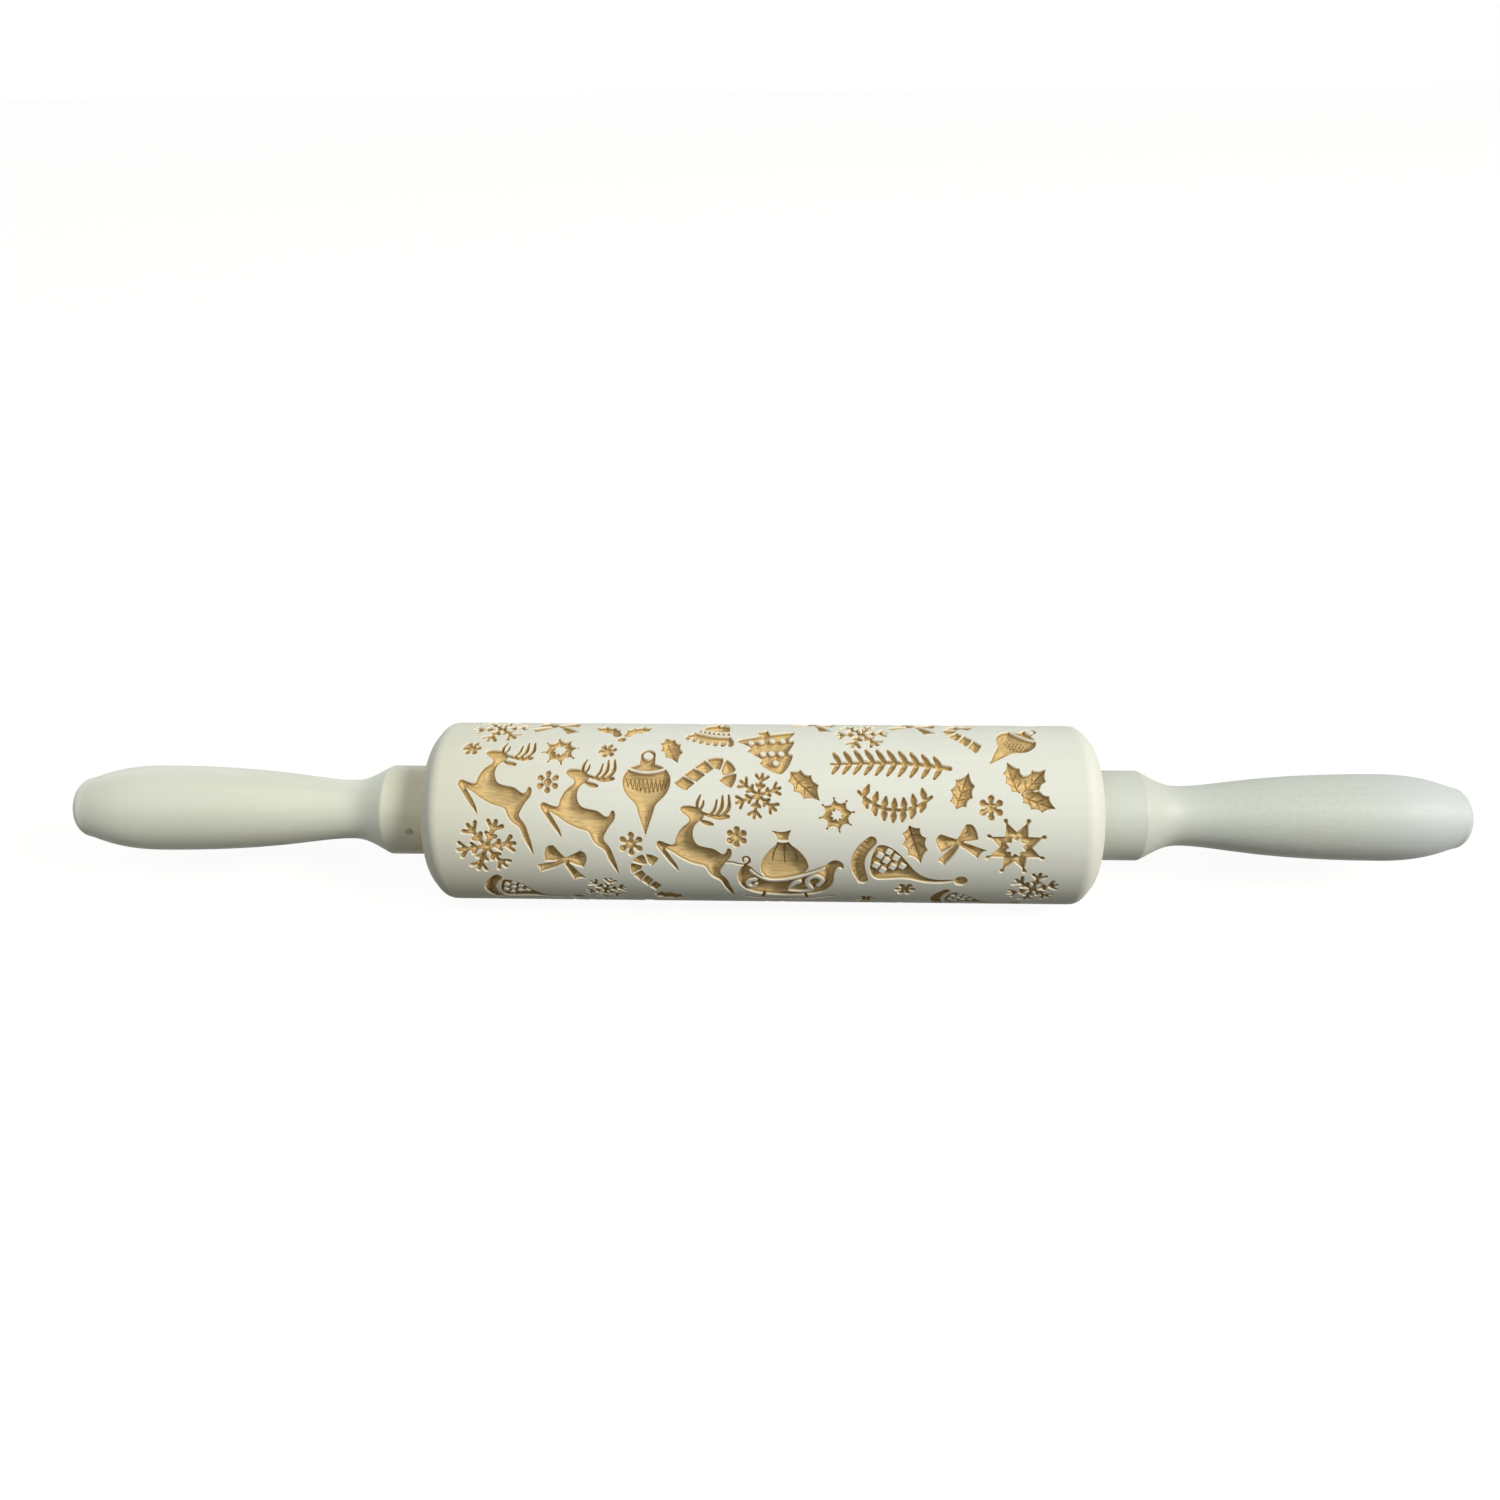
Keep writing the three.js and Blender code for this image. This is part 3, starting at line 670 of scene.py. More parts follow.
def linked(name, data):
    """A new object in the scene."""
    thing = bpy.data.objects.new(name, data)
    bpy.context.scene.collection.objects.link(thing)
    return thing


def finish_piece(mesh, material, body, slot, *nodes):
    """Makes a finished piece of a mesh, which rides on a CAD body and stands for CAD nodes."""
    mesh.materials.append(material)
    piece = linked(mesh.name, mesh)
    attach(piece, body)
    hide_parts(*nodes)


def spun(profile, sides):
    """A closed turned solid about the pin's axis, from its outline as places along and radii."""
    bm = bmesh.new()
    verts = [bm.verts.new((along, AXIS.y, AXIS.z + radius)) for along, radius in profile]
    edges = [bm.edges.new(pair) for pair in zip(verts, verts[1:])]
    bmesh.ops.spin(
        bm, geom=verts + edges, cent=AXIS, axis=(1, 0, 0), angle=2 * math.pi, steps=sides, use_merge=True)
    bmesh.ops.remove_doubles(bm, verts=bm.verts, dist=WELD)
    bmesh.ops.recalc_face_normals(bm, faces=bm.faces)
    return bm


def shaded_mesh(name, bm):
    """A mesh of smooth faces that meet sharply at real edges."""
    for face in bm.faces:
        face.smooth = True
    for edge in bm.edges:
        edge.smooth = len(edge.link_faces) == 2 and edge.calc_face_angle(0) < SHARP_EDGE
    return mesh_of(name, bm)


def corner_arc(along, radius, reach_along, reach_radius, steps=CORNER_STEPS, first=0.0, last=math.pi / 2):
    """Points of a quarter of an ellipse about a centre, from straight out to straight along."""
    turns = [first + (last - first) * k / steps for k in range(steps + 1)]
    return [(along + reach_along * math.sin(t), radius + reach_radius * math.cos(t)) for t in turns]


def eased_corner(before, corner, after, reach):
    """Points round a corner of an outline, from a reach before it to a reach after it."""
    corner = Vector(corner)
    ends = [corner + (Vector(other) - corner).normalized() * reach for other in (before, after)]
    pulls = [end.lerp(corner, 2 / 3) for end in ends]
    return [tuple(p) for p in interpolate_bezier(ends[0], *pulls, ends[1], CORNER_STEPS + 1)]


# Materials: how fine each noise is along the three axes, and where tints and painted shade start and stop
# along the pin, in metres from its middle
FIBRES = (25, 700, 700)
FIGURE = (9, 120, 120)
LATHE_RINGS = (1100, 5, 5)
HATCH = (120, 2300, 2300)
BLOTCHES = (90, 260, 260)
SANDING = (130, 2200, 2200)
SHEEN = (60, 600, 600)
DRAW_LINES = (40, 2500, 2500)
IRON_SCALE = (900, 900, 900)
NYLON_CLOUD = (300, 300, 300)
LEFT_END_TINT_AND_SHADE = (-0.082, -0.03)
BOTH_COLLARS = (-0.1, 0.1)
RIGHT_GRIP = (0.1, 0.17)


def connect(socket, value):
    """Links an input to another node's output, or sets its value."""
    if isinstance(value, bpy.types.NodeSocket):
        socket.id_data.links.new(value, socket)
    else:
        socket.default_value = value


def add(tree, kind, inputs=(), **settings):
    """A shader node with its settings and inputs."""
    node = tree.nodes.new(f"ShaderNode{kind}")
    for name, value in settings.items():
        setattr(node, name, value)
    for socket, value in dict(inputs).items():
        connect(node.inputs[socket], value)
    return node


def new_material(name):
    material = bpy.data.materials.new(name)
    material.use_nodes = True
    return material, material.node_tree


def finish_material(material, **inputs):
    """Gives a material's shader its inputs."""
    shader = material.node_tree.nodes["Principled BSDF"]
    for name, value in inputs.items():
        connect(shader.inputs[name.replace("_", " ").title().replace("Ior", "IOR")], value)
    return material


def object_coordinates(tree):
    return add(tree, "TexCoord").outputs["Object"]


def grain(tree, stretch, detail=3.0, lean=0.0):
    """Noise on the object's coordinates, drawn out along the pin or leaning across it."""
    turned = add(tree, "Mapping", {"Vector": object_coordinates(tree), "Rotation": (0, lean, 0)}).outputs[0]
    scaled = add(tree, "Mapping", {"Vector": turned, "Scale": stretch}).outputs[0]
    inputs = {"Vector": scaled, "Scale": 1.0, "Detail": detail, "Roughness": 0.55}
    return add(tree, "TexNoise", inputs).outputs["Fac"]


def ramp(tree, factor, *stops):
    """A colour ramp of (place, colour) stops, where a number stands for a grey."""
    node = add(tree, "ValToRGB", {"Fac": factor})
    elements = node.color_ramp.elements
    while len(elements) < len(stops):
        elements.new(0.5)
    for element, (place, colour) in zip(elements, stops):
        element.position = place
        element.color = (*np.broadcast_to(colour, 3), 1)
    return node.outputs["Color"]


def mixed(tree, factor, first, second, blend_type="MIX"):
    inputs = {0: factor, 6: first, 7: second}
    return add(tree, "Mix", inputs, data_type="RGBA", blend_type=blend_type).outputs[2]


def multiplied(tree, tone, stain):
    return mixed(tree, 1.0, tone, stain, "MULTIPLY")


def bumped(tree, height, strength, distance):
    inputs = {"Height": height, "Strength": strength, "Distance": distance}
    return add(tree, "Bump", inputs).outputs["Normal"]


def shaded(colour, share):
    return tuple(channel * share for channel in colour)


def bare_wood(tree, colour, variation):
    """Pale sanded wood: fibres along the pin, faint broad figure and the lathe's fine rings."""
    fibres = grain(tree, FIBRES)
    low = shaded(colour, 1 - variation)
    tone = ramp(tree, fibres, (0.3, low), (0.62, colour))
    for share, stretch, top in ((0.5, FIGURE, 0.65), (0.2, LATHE_RINGS, 0.6)):
        tone = mixed(tree, share, tone, ramp(tree, grain(tree, stretch, 2), (0.3, low), (top, colour)))
    return tone, bumped(tree, fibres, strength=0.05, distance=0.0001)


def along_pin(tree, first, last):
    """Nought at one place along the pin and one at another."""
    place = add(tree, "SeparateXYZ", {"Vector": object_coordinates(tree)}).outputs["X"]
    return add(tree, "MapRange", {"Value": place, "From Min": first, "From Max": last}).outputs[0]


def barrel_wood(barrel):
    """Pale wood, darker and warmer towards the left end (a warmer tone of the wood with painted shade of
    light falling off there), with a painted highlight as a pale ring round each cut, and the scorched tan of
    the engraving where a face is cut, its walls darkened partly by scorch and partly by painted shade.
    """
    material, tree = new_material("barrel_wood")
    pale, ground_normal = bare_wood(tree, barrel.wood_colour, variation=0.06)
    # Darker and warmer towards the left end: a warmer tone of the wood, with painted shade of the light
    # falling off there
    pale = multiplied(tree, pale, ramp(tree, along_pin(tree, *LEFT_END_TINT_AND_SHADE), (0, barrel.left_tint_and_shade), (1, 1)))
    cut, rim = (add(tree, "Attribute", attribute_name=name).outputs["Fac"] for name in ("cut", "rim"))
    hatch = grain(tree, HATCH, 2)
    dark, light = shaded(barrel.engraved_colour, 0.6), shaded(barrel.engraved_colour, 1.2)
    floor = ramp(tree, hatch, (0.3, dark), (0.66, light))
    floor = mixed(tree, 0.4, floor, ramp(tree, grain(tree, BLOTCHES), (0.35, dark), (0.65, light)))
    # Walls: a pale lip at the top, then a dark band lower down that is partly laser scorch and partly painted
    # shade in the recess
    lip = ramp(tree, rim, (0.4, barrel.scorch_and_shade_colour), (0.92, barrel.lip_colour))
    char_and_shade = mixed(tree, ramp(tree, rim, (0, 0), (0.25, 1)), floor, lip)
    # Painted highlight: the ground turns towards the lip's cream in a narrow ring round every cut
    pale = mixed(tree, ramp(tree, rim, (0, 0), (1, 0.6)), pale, (*barrel.lip_colour, 1))
    normals = {0: cut, 4: ground_normal, 5: bumped(tree, hatch, strength=0.5, distance=0.0004)}
    return finish_material(
        material, base_color=mixed(tree, cut, pale, char_and_shade), roughness=ramp(tree, cut, (0, 0.55), (1, 0.8)),
        normal=add(tree, "Mix", normals, data_type="VECTOR").outputs[1], specular_ior_level=0.1)


def handle_wood(handle):
    """Pale wood, with painted shade on both collars next to the barrel (the barrel's shadow on the left one,
    the shade at the gap on the right one), and cooler with slanting sanding marks on the right grip.
    """
    material, tree = new_material("handle_wood")
    tone, normal = bare_wood(tree, handle.wood_colour, variation=0.08)
    right = handle.right_handle_tint
    # Painted shade on both collars next to the barrel: the barrel's shadow on the left collar and the shade
    # at the gap on the right collar
    tone = multiplied(tree, tone, ramp(
        tree, along_pin(tree, *BOTH_COLLARS), (0.02, 1), (0.08, handle.collar_shade), (0.25, 1),
        (0.75, right), (0.915, shaded(right, 0.93)), (0.95, right)))
    along_grip = along_pin(tree, *RIGHT_GRIP)
    sanded = ramp(tree, along_grip, (0.05, 0), (0.3, 1), (0.6, 1), (0.8, 0))
    marks = grain(tree, SANDING, 1, lean=handle.sanding_lean)
    marks = multiplied(tree, tone, ramp(tree, marks, (0.35, (0.94, 0.94, 0.93)), (0.6, 1)))
    tone = mixed(tree, sanded, tone, marks)
    tone = multiplied(tree, tone, ramp(tree, along_grip, (0.6, 1), (0.9, handle.tip_stain)))
    sheen = ramp(tree, grain(tree, SHEEN), (0.3, 0.42), (0.7, 0.56))
    return finish_material(material, base_color=tone, normal=normal, roughness=sheen, specular_ior_level=0.35)


def plain_finish(name, colour, noise, low, rough, smooth, detail=3.0, **inputs):
    """One colour that a fine noise darkens to a low share, with a roughness that follows the noise."""
    material, tree = new_material(name)
    fleck = grain(tree, noise, detail)
    return finish_material(
        material, base_color=ramp(tree, fleck, (0.3, shaded(colour, low)), (0.7, colour)),
        roughness=ramp(tree, fleck, (0.3, rough), (0.7, smooth)), **inputs)


# Barrel
class BarrelSettings(bpy.types.PropertyGroup):
    """Sizes and colours of the engraved barrel."""

    radius: setting("Radius", "Radius of the barrel", box_radius("barrel"), unit="LENGTH")
    bevel_length: millimetres("Bevel Length", "Length of the bevel at each end", 3.6)
    bevel_depth: millimetres("Bevel Depth", "Depth of the bevel at each end", 4.2)
    softening: millimetres("Softening", "Reach of the bevels' sanded corners", 1.8)
    flange_bore: millimetres("Flange Bore", "Radius of the recess for a bush's flange", 9.86)
    flange_depth: millimetres("Flange Depth", "Depth of the recess for a bush's flange", 2.2)
    bush_bore: millimetres("Bush Bore", "Radius of the bore that holds a bush", 7.56)
    bush_depth: millimetres("Bush Depth", "Depth of the bore that holds a bush", 16.2)
    axle_bore: millimetres("Axle Bore", "Radius of the bore round the axle", 5)
    face_angle: degrees(
        "Face Angle", "Height of the engraving's middle line above the horizon, at the front", 35)
    wall_depth: millimetres("Wall Depth", "Depth of the engraving at the foot of its walls", 0.9)
    wall_width: millimetres("Wall Width", "Width that a wall takes up", 0.5)
    scoop_depth: millimetres("Scoop Depth", "How much deeper a wide floor gets", 1.2)
    scoop_width: millimetres("Scoop Width", "Distance over which a floor deepens", 1.0)
    sharp_angle: degrees("Sharp Angle", "Edges that turn by more than this are sharp", 48)
    groove_depth: millimetres("Groove Depth", "Depth of the lines drawn on a floor", 0.6)
    wood_colour: tint("Wood", "Bare wood", 0.83, 0.827, 0.72)
    # Partly a warmer tone of the wood, partly painted shade of light falling off towards the left end
    left_tint_and_shade: tint("Left Stain", "Stain on the wood at the left end", 0.94, 0.91, 0.84)
    engraved_colour: tint("Engraving", "Floor of the engraving", 0.71, 0.51, 0.23)
    # Partly laser scorch, partly painted shade on the walls of the recess
    scorch_and_shade_colour: tint("Scorch", "Scorched part of the walls", 0.38, 0.235, 0.08)
    # Also painted on the ground as a highlight ring round every cut
    lip_colour: tint("Lip", "Top of the walls", 0.92, 0.85, 0.66)


def rolled_sheet(barrel, sheet):
    """The flat sheet rolled up into the barrel's skin, its seam closed."""
    bm = bmesh.new()
    rim = bm.verts.layers.float.new("rim")
    cut = bm.faces.layers.float.new("cut")
    verts = []
    for place, sunk, on_rim in zip(sheet.places, sheet.depths, sheet.on_rim):
        angle = barrel.face_angle + place.y * MM / barrel.radius
        radius = barrel.radius - sunk
        ahead, up = radius * math.cos(angle), radius * math.sin(angle)
        vert = bm.verts.new((place.x * MM, AXIS.y - ahead, AXIS.z + up))
        vert[rim] = float(on_rim)
        verts.append(vert)
    for triangle, engraved in zip(sheet.triangles, sheet.engraved):
        face = bm.faces.new([verts[i] for i in triangle])
        face[cut] = float(engraved)
    bmesh.ops.remove_doubles(bm, verts=[v for v in bm.verts if v.is_boundary], dist=WELD)
    return bm


def close_end(bm, barrel, side, half_length, end):
    """Carries the skin's edge over the bevelled end and into the bores. Gives the last ring of edges."""
    ring_edges = [e for e in bm.edges if e.is_boundary and e.verts[0].co.x * side > 0]
    brow = (end - barrel.bevel_length, barrel.radius)
    foot = (end, barrel.radius - barrel.bevel_depth)
    outline = eased_corner((0, barrel.radius), brow, foot, barrel.softening)[1:]
    outline += eased_corner(brow, foot, (end, 0), barrel.softening)
    outline += [
        (end, barrel.flange_bore),
        (end - barrel.flange_depth, barrel.flange_bore),
        (end - barrel.flange_depth, barrel.bush_bore),
        (end - barrel.bush_depth, barrel.bush_bore),
        (end - barrel.bush_depth, barrel.axle_bore),
    ]
    along, radius = half_length, barrel.radius
    about_axis = Matrix.Translation(-AXIS)
    for next_along, next_radius in outline:
        made = bmesh.ops.extrude_edge_only(bm, edges=ring_edges)["geom"]
        ring_edges = [g for g in made if isinstance(g, bmesh.types.BMEdge)]
        verts = [g for g in made if isinstance(g, bmesh.types.BMVert)]
        share = next_radius / radius
        bmesh.ops.scale(bm, verts=verts, vec=(1, share, share), space=about_axis)
        bmesh.ops.translate(bm, verts=verts, vec=((next_along - along) * side, 0, 0))
        along, radius = next_along, next_radius
    return ring_edges


def skin_normals(mesh, barrel, half_length):
    """Gives the uncut skin the true round form's normals, whatever its triangles."""
    mesh.set_sharp_from_angle(angle=barrel.sharp_angle)
    normals = [Vector(n.vector) for n in mesh.corner_normals]
    cut = mesh.attributes["cut"].data
    for polygon in mesh.polygons:
        place = polygon.center - AXIS
        inner = math.hypot(place.y, place.z) < barrel.radius - barrel.bevel_depth
        if cut[polygon.index].value or inner or abs(place.x) > half_length:
            continue
        for corner in polygon.loop_indices:
            place = mesh.vertices[mesh.loops[corner].vertex_index].co - AXIS
            normals[corner] = Vector((0, place.y, place.z)).normalized()
    mesh.normals_split_custom_set(normals)


class ROLLINGPIN_OT_engrave_barrel(bpy.types.Operator):
    """Build the barrel with its engraving, bevelled ends and bores"""

    bl_idname = "rolling_pin.engrave_barrel"
    bl_label = "Engrave Barrel"

    def execute(self, context):
        barrel = context.scene.rolling_pin.barrel
        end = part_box("barrel")[1].x
        half_length = end - barrel.bevel_length - barrel.softening
        sheet = FlatSheet(barrel, half_length / MM, math.pi * barrel.radius / MM)
        bm = rolled_sheet(barrel, sheet)
        left = close_end(bm, barrel, -1, half_length, end)
        right = close_end(bm, barrel, 1, half_length, end)
        bmesh.ops.bridge_loops(bm, edges=left + right)
        bmesh.ops.recalc_face_normals(bm, faces=bm.faces)
        for face in bm.faces:
            face.smooth = True
        open_edges = sum(not e.is_manifold for e in bm.edges)
        if open_edges:
            raise RuntimeError(f"The barrel has {open_edges} open edges")
        mesh = mesh_of("engraved_barrel", bm)
        skin_normals(mesh, barrel, half_length)
        finish_piece(mesh, barrel_wood(barrel), "barrel", "barrel_wood", "barrel")
        return {"FINISHED"}


# Handles
class HandleSettings(bpy.types.PropertyGroup):
    """Sizes and colour of the turned handles."""

    sides: IntProperty(name="Sides", description="Faces round a turned piece", default=96, min=24)
    collar_radius: setting("Collar Radius", "Radius of the collar", widest("handle_right"), unit="LENGTH")
    collar_length: millimetres("Collar Length", "Length of the collar", 11.6)
    collar_edge: millimetres("Collar Edge", "Rounding of the collar's edges", 0.4)
    cove_length: millimetres("Cove Length", "Length of the hollow below the collar", 10.4)
    cove_pull: share_of("Cove Pull", "Share of the cove's length over which its ends run straight", 0.4)
    cove_fall: share_of("Cove Fall", "Share of the cove's depth that its first stretch heads for", 0.55)
    neck_radius: millimetres("Neck Radius", "Radius of the thinnest place", 7.5)
    swell_length: millimetres("Swell Length", "Length from neck to grip", 49.5)
    grip_radius: millimetres("Grip Radius", "Radius of the thickest place", 10.85)
    taper_length: millimetres("Taper Length", "Length from grip to tip", 18)
    neck_pull: share_of("Neck Pull", "Share of the swell over which the neck stays thin", 0.2)
    grip_pull: share_of("Grip Pull", "Share of the swell over which the grip stays thick", 0.63)
    tip_radius: millimetres("Tip Radius", "Radius where the tip starts to round", 7.7)
    tip_flat: millimetres("Tip Flat", "Radius of the small flat at the end", 4)
    bore_radius: millimetres("Bore Radius", "Radius of the bore for the axle", 4.06)
    bore_depth: millimetres("Bore Depth", "Depth of the bore for the axle", 45.8)
    nail_hole: millimetres("Nail Hole", "Radius of the hole for the nail", 0.95)
    nail_hole_depth: millimetres("Nail Hole Depth", "Depth of the hole below the axis", 7.15)
    wood_colour: tint("Wood", "Bare wood", 0.76, 0.762, 0.625)
    # Multiplies the whole right handle's colour, making it darker and cooler
    right_handle_tint: tint("Right Stain", "Stain on the right handle's wood", 0.86, 0.885, 0.94)
    tip_stain: tint(
        "Tip Stain", "What the cooler tip of the right grip multiplies its colour by", 0.99, 1.0, 1.1)
    sanding_lean: degrees("Sanding Lean", "Slant of the sanding marks on the right grip", -20)
    # Painted shade: the barrel's shadow on the left collar next to the barrel
    collar_shade: tint("Collar Stain", "Stain on the left collar next to the barrel", 0.93, 0.83, 0.68)


def curve_points(start, first, second, stop, steps=CURVE_STEPS):
    points = interpolate_bezier(*(Vector(p) for p in (start, first, second, stop)), steps)
    return [(p.x, p.y) for p in points]


def handle_profile(handle):
    """The handle's outline from the bottom of its bore, round the collar and cove, to the end of its tip."""
    face, end = (corner.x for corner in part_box("handle_right"))
    edge = handle.collar_edge
    shoulder = face + handle.collar_length
    neck = shoulder + handle.cove_length
    grip = neck + handle.swell_length
    tip = grip + handle.taper_length
    pull = handle.cove_length * handle.cove_pull
    fall = (handle.collar_radius - handle.neck_radius) * handle.cove_fall
    slope = 2 * (handle.grip_radius - handle.tip_radius) / handle.taper_length
    cove = curve_points(
        (shoulder, handle.collar_radius), (shoulder + pull, handle.collar_radius - fall),
        (neck - pull, handle.neck_radius), (neck, handle.neck_radius))
    rim = corner_arc(face + edge, handle.collar_radius - edge, edge, edge, first=-math.pi / 2, last=0)
    rim += eased_corner(rim[-1], cove[0], cove[1], edge)
    swell = curve_points(
        (neck, handle.neck_radius), (neck + handle.swell_length * handle.neck_pull, handle.neck_radius),
        (grip - handle.swell_length * handle.grip_pull, handle.grip_radius), (grip, handle.grip_radius),
        SWELL_STEPS)
    taper = curve_points(
        (grip, handle.grip_radius), (grip + handle.taper_length / 2, handle.grip_radius),
        (tip - handle.taper_length / 4, handle.tip_radius + slope * handle.taper_length / 4),
        (tip, handle.tip_radius))
    point = corner_arc(tip, handle.tip_flat, end - tip, handle.tip_radius - handle.tip_flat, TIP_STEPS)
    bottom = face + handle.bore_depth
    bore = [(bottom, 0), (bottom, handle.bore_radius), (face, handle.bore_radius)]
    return bore + rim + cove[1:] + swell[1:] + taper[1:] + point[1:] + [(end, 0)]


DRILL_SIDES = 24
DRILL_STARTS = 1.2
NAIL_SIDES = 32


def both_ends(gear):
    """Each end's name, its side and its nail's angle."""
    return ("left", -1, gear.left_nail_angle), ("right", 1, gear.right_nail_angle)


def nail_place(name):
    """Where along the pin the left or right nail stands."""
    low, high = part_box(f"brad_{name}")
    return (low.x + high.x) / 2


def nail_way(angle):
    """The direction in which a nail's head faces."""
    return Vector((0, -math.cos(angle), -math.sin(angle)))


def cross_cylinder(place, way, radius, top, bottom, sides):
    """A cylinder across the axis, from a height above it to a depth below."""
    bm = bmesh.new()
    turn = Vector((0, 0, 1)).rotation_difference(way).to_matrix().to_4x4()
    middle = Vector((place, AXIS.y, AXIS.z)) + way * (top - bottom) / 2
    bmesh.ops.create_cone(
        bm, cap_ends=True, segments=sides, radius1=radius, radius2=radius, depth=top + bottom,
        matrix=Matrix.Translation(middle) @ turn)
    return bm


def drilled(bm, cutter):
    """The mesh of one bmesh with another taken away."""
    block, drill = (linked(name, mesh_of(name, part)) for name, part in (("drilled", bm), ("drill", cutter)))
    boolean = block.modifiers.new("hole", "BOOLEAN")
    boolean.object = drill
    boolean.operation = "DIFFERENCE"
    boolean.solver = "EXACT"
    depsgraph = bpy.context.evaluated_depsgraph_get()
    mesh = bpy.data.meshes.new_from_object(block.evaluated_get(depsgraph))
    for leftover in (block, drill):
        bpy.data.objects.remove(leftover)
    return mesh


class ROLLINGPIN_OT_turn_handles(bpy.types.Operator):
    """Turn both handles and drill them for their nails"""

    bl_idname = "rolling_pin.turn_handles"
    bl_label = "Turn Handles"

    def execute(self, context):
        settings = context.scene.rolling_pin
        handle = settings.handle
        wood = handle_wood(handle)
        for name, side, angle in both_ends(settings.fittings):
            bm = spun([(along * side, radius) for along, radius in handle_profile(handle)], handle.sides)
            drill = cross_cylinder(
                nail_place(name), nail_way(angle), handle.nail_hole,
                handle.collar_radius * DRILL_STARTS, handle.nail_hole_depth, DRILL_SIDES)
            mesh = drilled(bm, drill)
            mesh.name = f"turned_handle_{name}"
            mesh.shade_smooth()
            mesh.set_sharp_from_angle(angle=SHARP_EDGE)
            finish_piece(mesh, wood, "handles", "handle_wood", f"handle_{name}")
        return {"FINISHED"}


# Axle, bushes, washers and nails
class FittingSettings(bpy.types.PropertyGroup):
    """Sizes and colours of the running gear inside the pin."""

    chamfer: millimetres("Chamfer", "Chamfer on the axle's ends", 0.8)
    bore_clearance: millimetres("Bore Clearance", "Gap between the axle and what runs on it", 0.08)
    flange: millimetres("Flange", "Thickness of a bush's flange", 1.4)
    bush_radius: millimetres("Bush Radius", "Radius of a bush's body", 7.5)
    edge: millimetres("Edge", "Rounding of small edges", 0.2)
    nail_radius: millimetres("Nail Radius", "Radius of the nails", 0.9)
    nail_sunk: millimetres("Nail Sunk", "Depth of a nail's head below the collar", 0.03)
    nail_tail: millimetres("Nail Tail", "Length of a nail past the axis", 7)
    left_nail_angle: degrees("Left Nail", "Turn of the left nail from the front", -6)
    right_nail_angle: degrees("Right Nail", "Turn of the right nail from the front", 155)
    steel_colour: tint("Steel", "Drawn steel", 0.5, 0.5, 0.5)
    iron_colour: tint("Iron", "Dull nails", 0.6, 0.53, 0.4)
    nylon_colour: tint("Nylon", "Natural nylon", 0.82, 0.8, 0.74)


def ring_profile(first, last, inner, outer, edge):
    """A ring's closed outline with rounded outer edges."""
    profile = [(first, inner)]
    profile += corner_arc(first + edge, outer - edge, edge, edge, SMALL_CORNER_STEPS, -math.pi / 2, 0)
    profile += corner_arc(last - edge, outer - edge, edge, edge, SMALL_CORNER_STEPS)
    return profile + [(last, inner), (first, inner)]


class ROLLINGPIN_OT_fit_running_gear(bpy.types.Operator):
    """Make the axle, the bushes and washers that run on it, and the nails that hold the handles"""

    bl_idname = "rolling_pin.fit_running_gear"
    bl_label = "Fit Running Gear"

    def execute(self, context):
        settings = context.scene.rolling_pin
        gear, handle = settings.fittings, settings.handle
        steel = plain_finish(
            "drawn_steel", gear.steel_colour, DRAW_LINES, low=0.8, rough=0.38, smooth=0.24,
            detail=2, metallic=1.0)
        iron = plain_finish(
            "dull_iron", gear.iron_colour, IRON_SCALE, low=0.6, rough=0.9, smooth=0.7, specular_ior_level=0.2)
        nylon = plain_finish(
            "white_nylon", gear.nylon_colour, NYLON_CLOUD, low=0.94, rough=0.5, smooth=0.4,
            subsurface_weight=0.1, subsurface_scale=0.001)
        self.axle(gear, steel, handle.sides)
        for name, side, _ in both_ends(gear):
            self.bush(gear, nylon, handle.sides, name, side)
            self.washer(gear, nylon, handle.sides, name)
        for name, _, angle in both_ends(gear):
            self.nail(gear, handle, iron, name, angle)
        return {"FINISHED"}

    def axle(self, gear, steel, sides):
        end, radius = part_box("axle")[1].x, widest("axle")
        half = [(end - gear.chamfer, radius), (end, radius - gear.chamfer), (end, 0)]
        bm = spun([(-along, r) for along, r in reversed(half)] + half, sides)
        finish_piece(shaded_mesh("steel_axle", bm), steel, "handles", "steel", "axle")

    def bush(self, gear, nylon, sides, name, side):
        low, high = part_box(f"bush_{name}")
        face, back = (high.x, low.x) if side > 0 else (-low.x, -high.x)
        bore = widest("axle") + gear.bore_clearance
        rim = ring_profile(face - gear.flange, face, bore, widest(f"bush_{name}"), gear.edge)
        profile = [(back, bore), (back, gear.bush_radius), (face - gear.flange, gear.bush_radius)] + rim[1:-1]
        bm = spun([(along * side, radius) for along, radius in profile + profile[:1]], sides)
        finish_piece(shaded_mesh(f"nylon_bush_{name}", bm), nylon, "barrel", "nylon", f"bush_{name}")

    def washer(self, gear, nylon, sides, name):
        node = f"thrust_washer_{name}"
        low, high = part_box(node)
        bore = widest("axle") + gear.bore_clearance
        bm = spun(ring_profile(low.x, high.x, bore, widest(node), gear.edge), sides)
        finish_piece(shaded_mesh(f"nylon_washer_{name}", bm), nylon, "handles", "nylon", node)

    def nail(self, gear, handle, iron, name, angle):
        way = nail_way(angle)
        top = handle.collar_radius - gear.nail_sunk
        bm = cross_cylinder(nail_place(name), way, gear.nail_radius, top, gear.nail_tail, NAIL_SIDES)
        head = max(bm.faces, key=lambda face: (face.calc_center_median() - AXIS).dot(way))
        bmesh.ops.bevel(
            bm, geom=list(head.edges), offset=gear.edge, affect="EDGES", segments=SMALL_CORNER_STEPS,
            profile=0.5, material=-1)
        finish_piece(shaded_mesh(f"nail_{name}", bm), iron, "handles", "steel", f"brad_{name}")


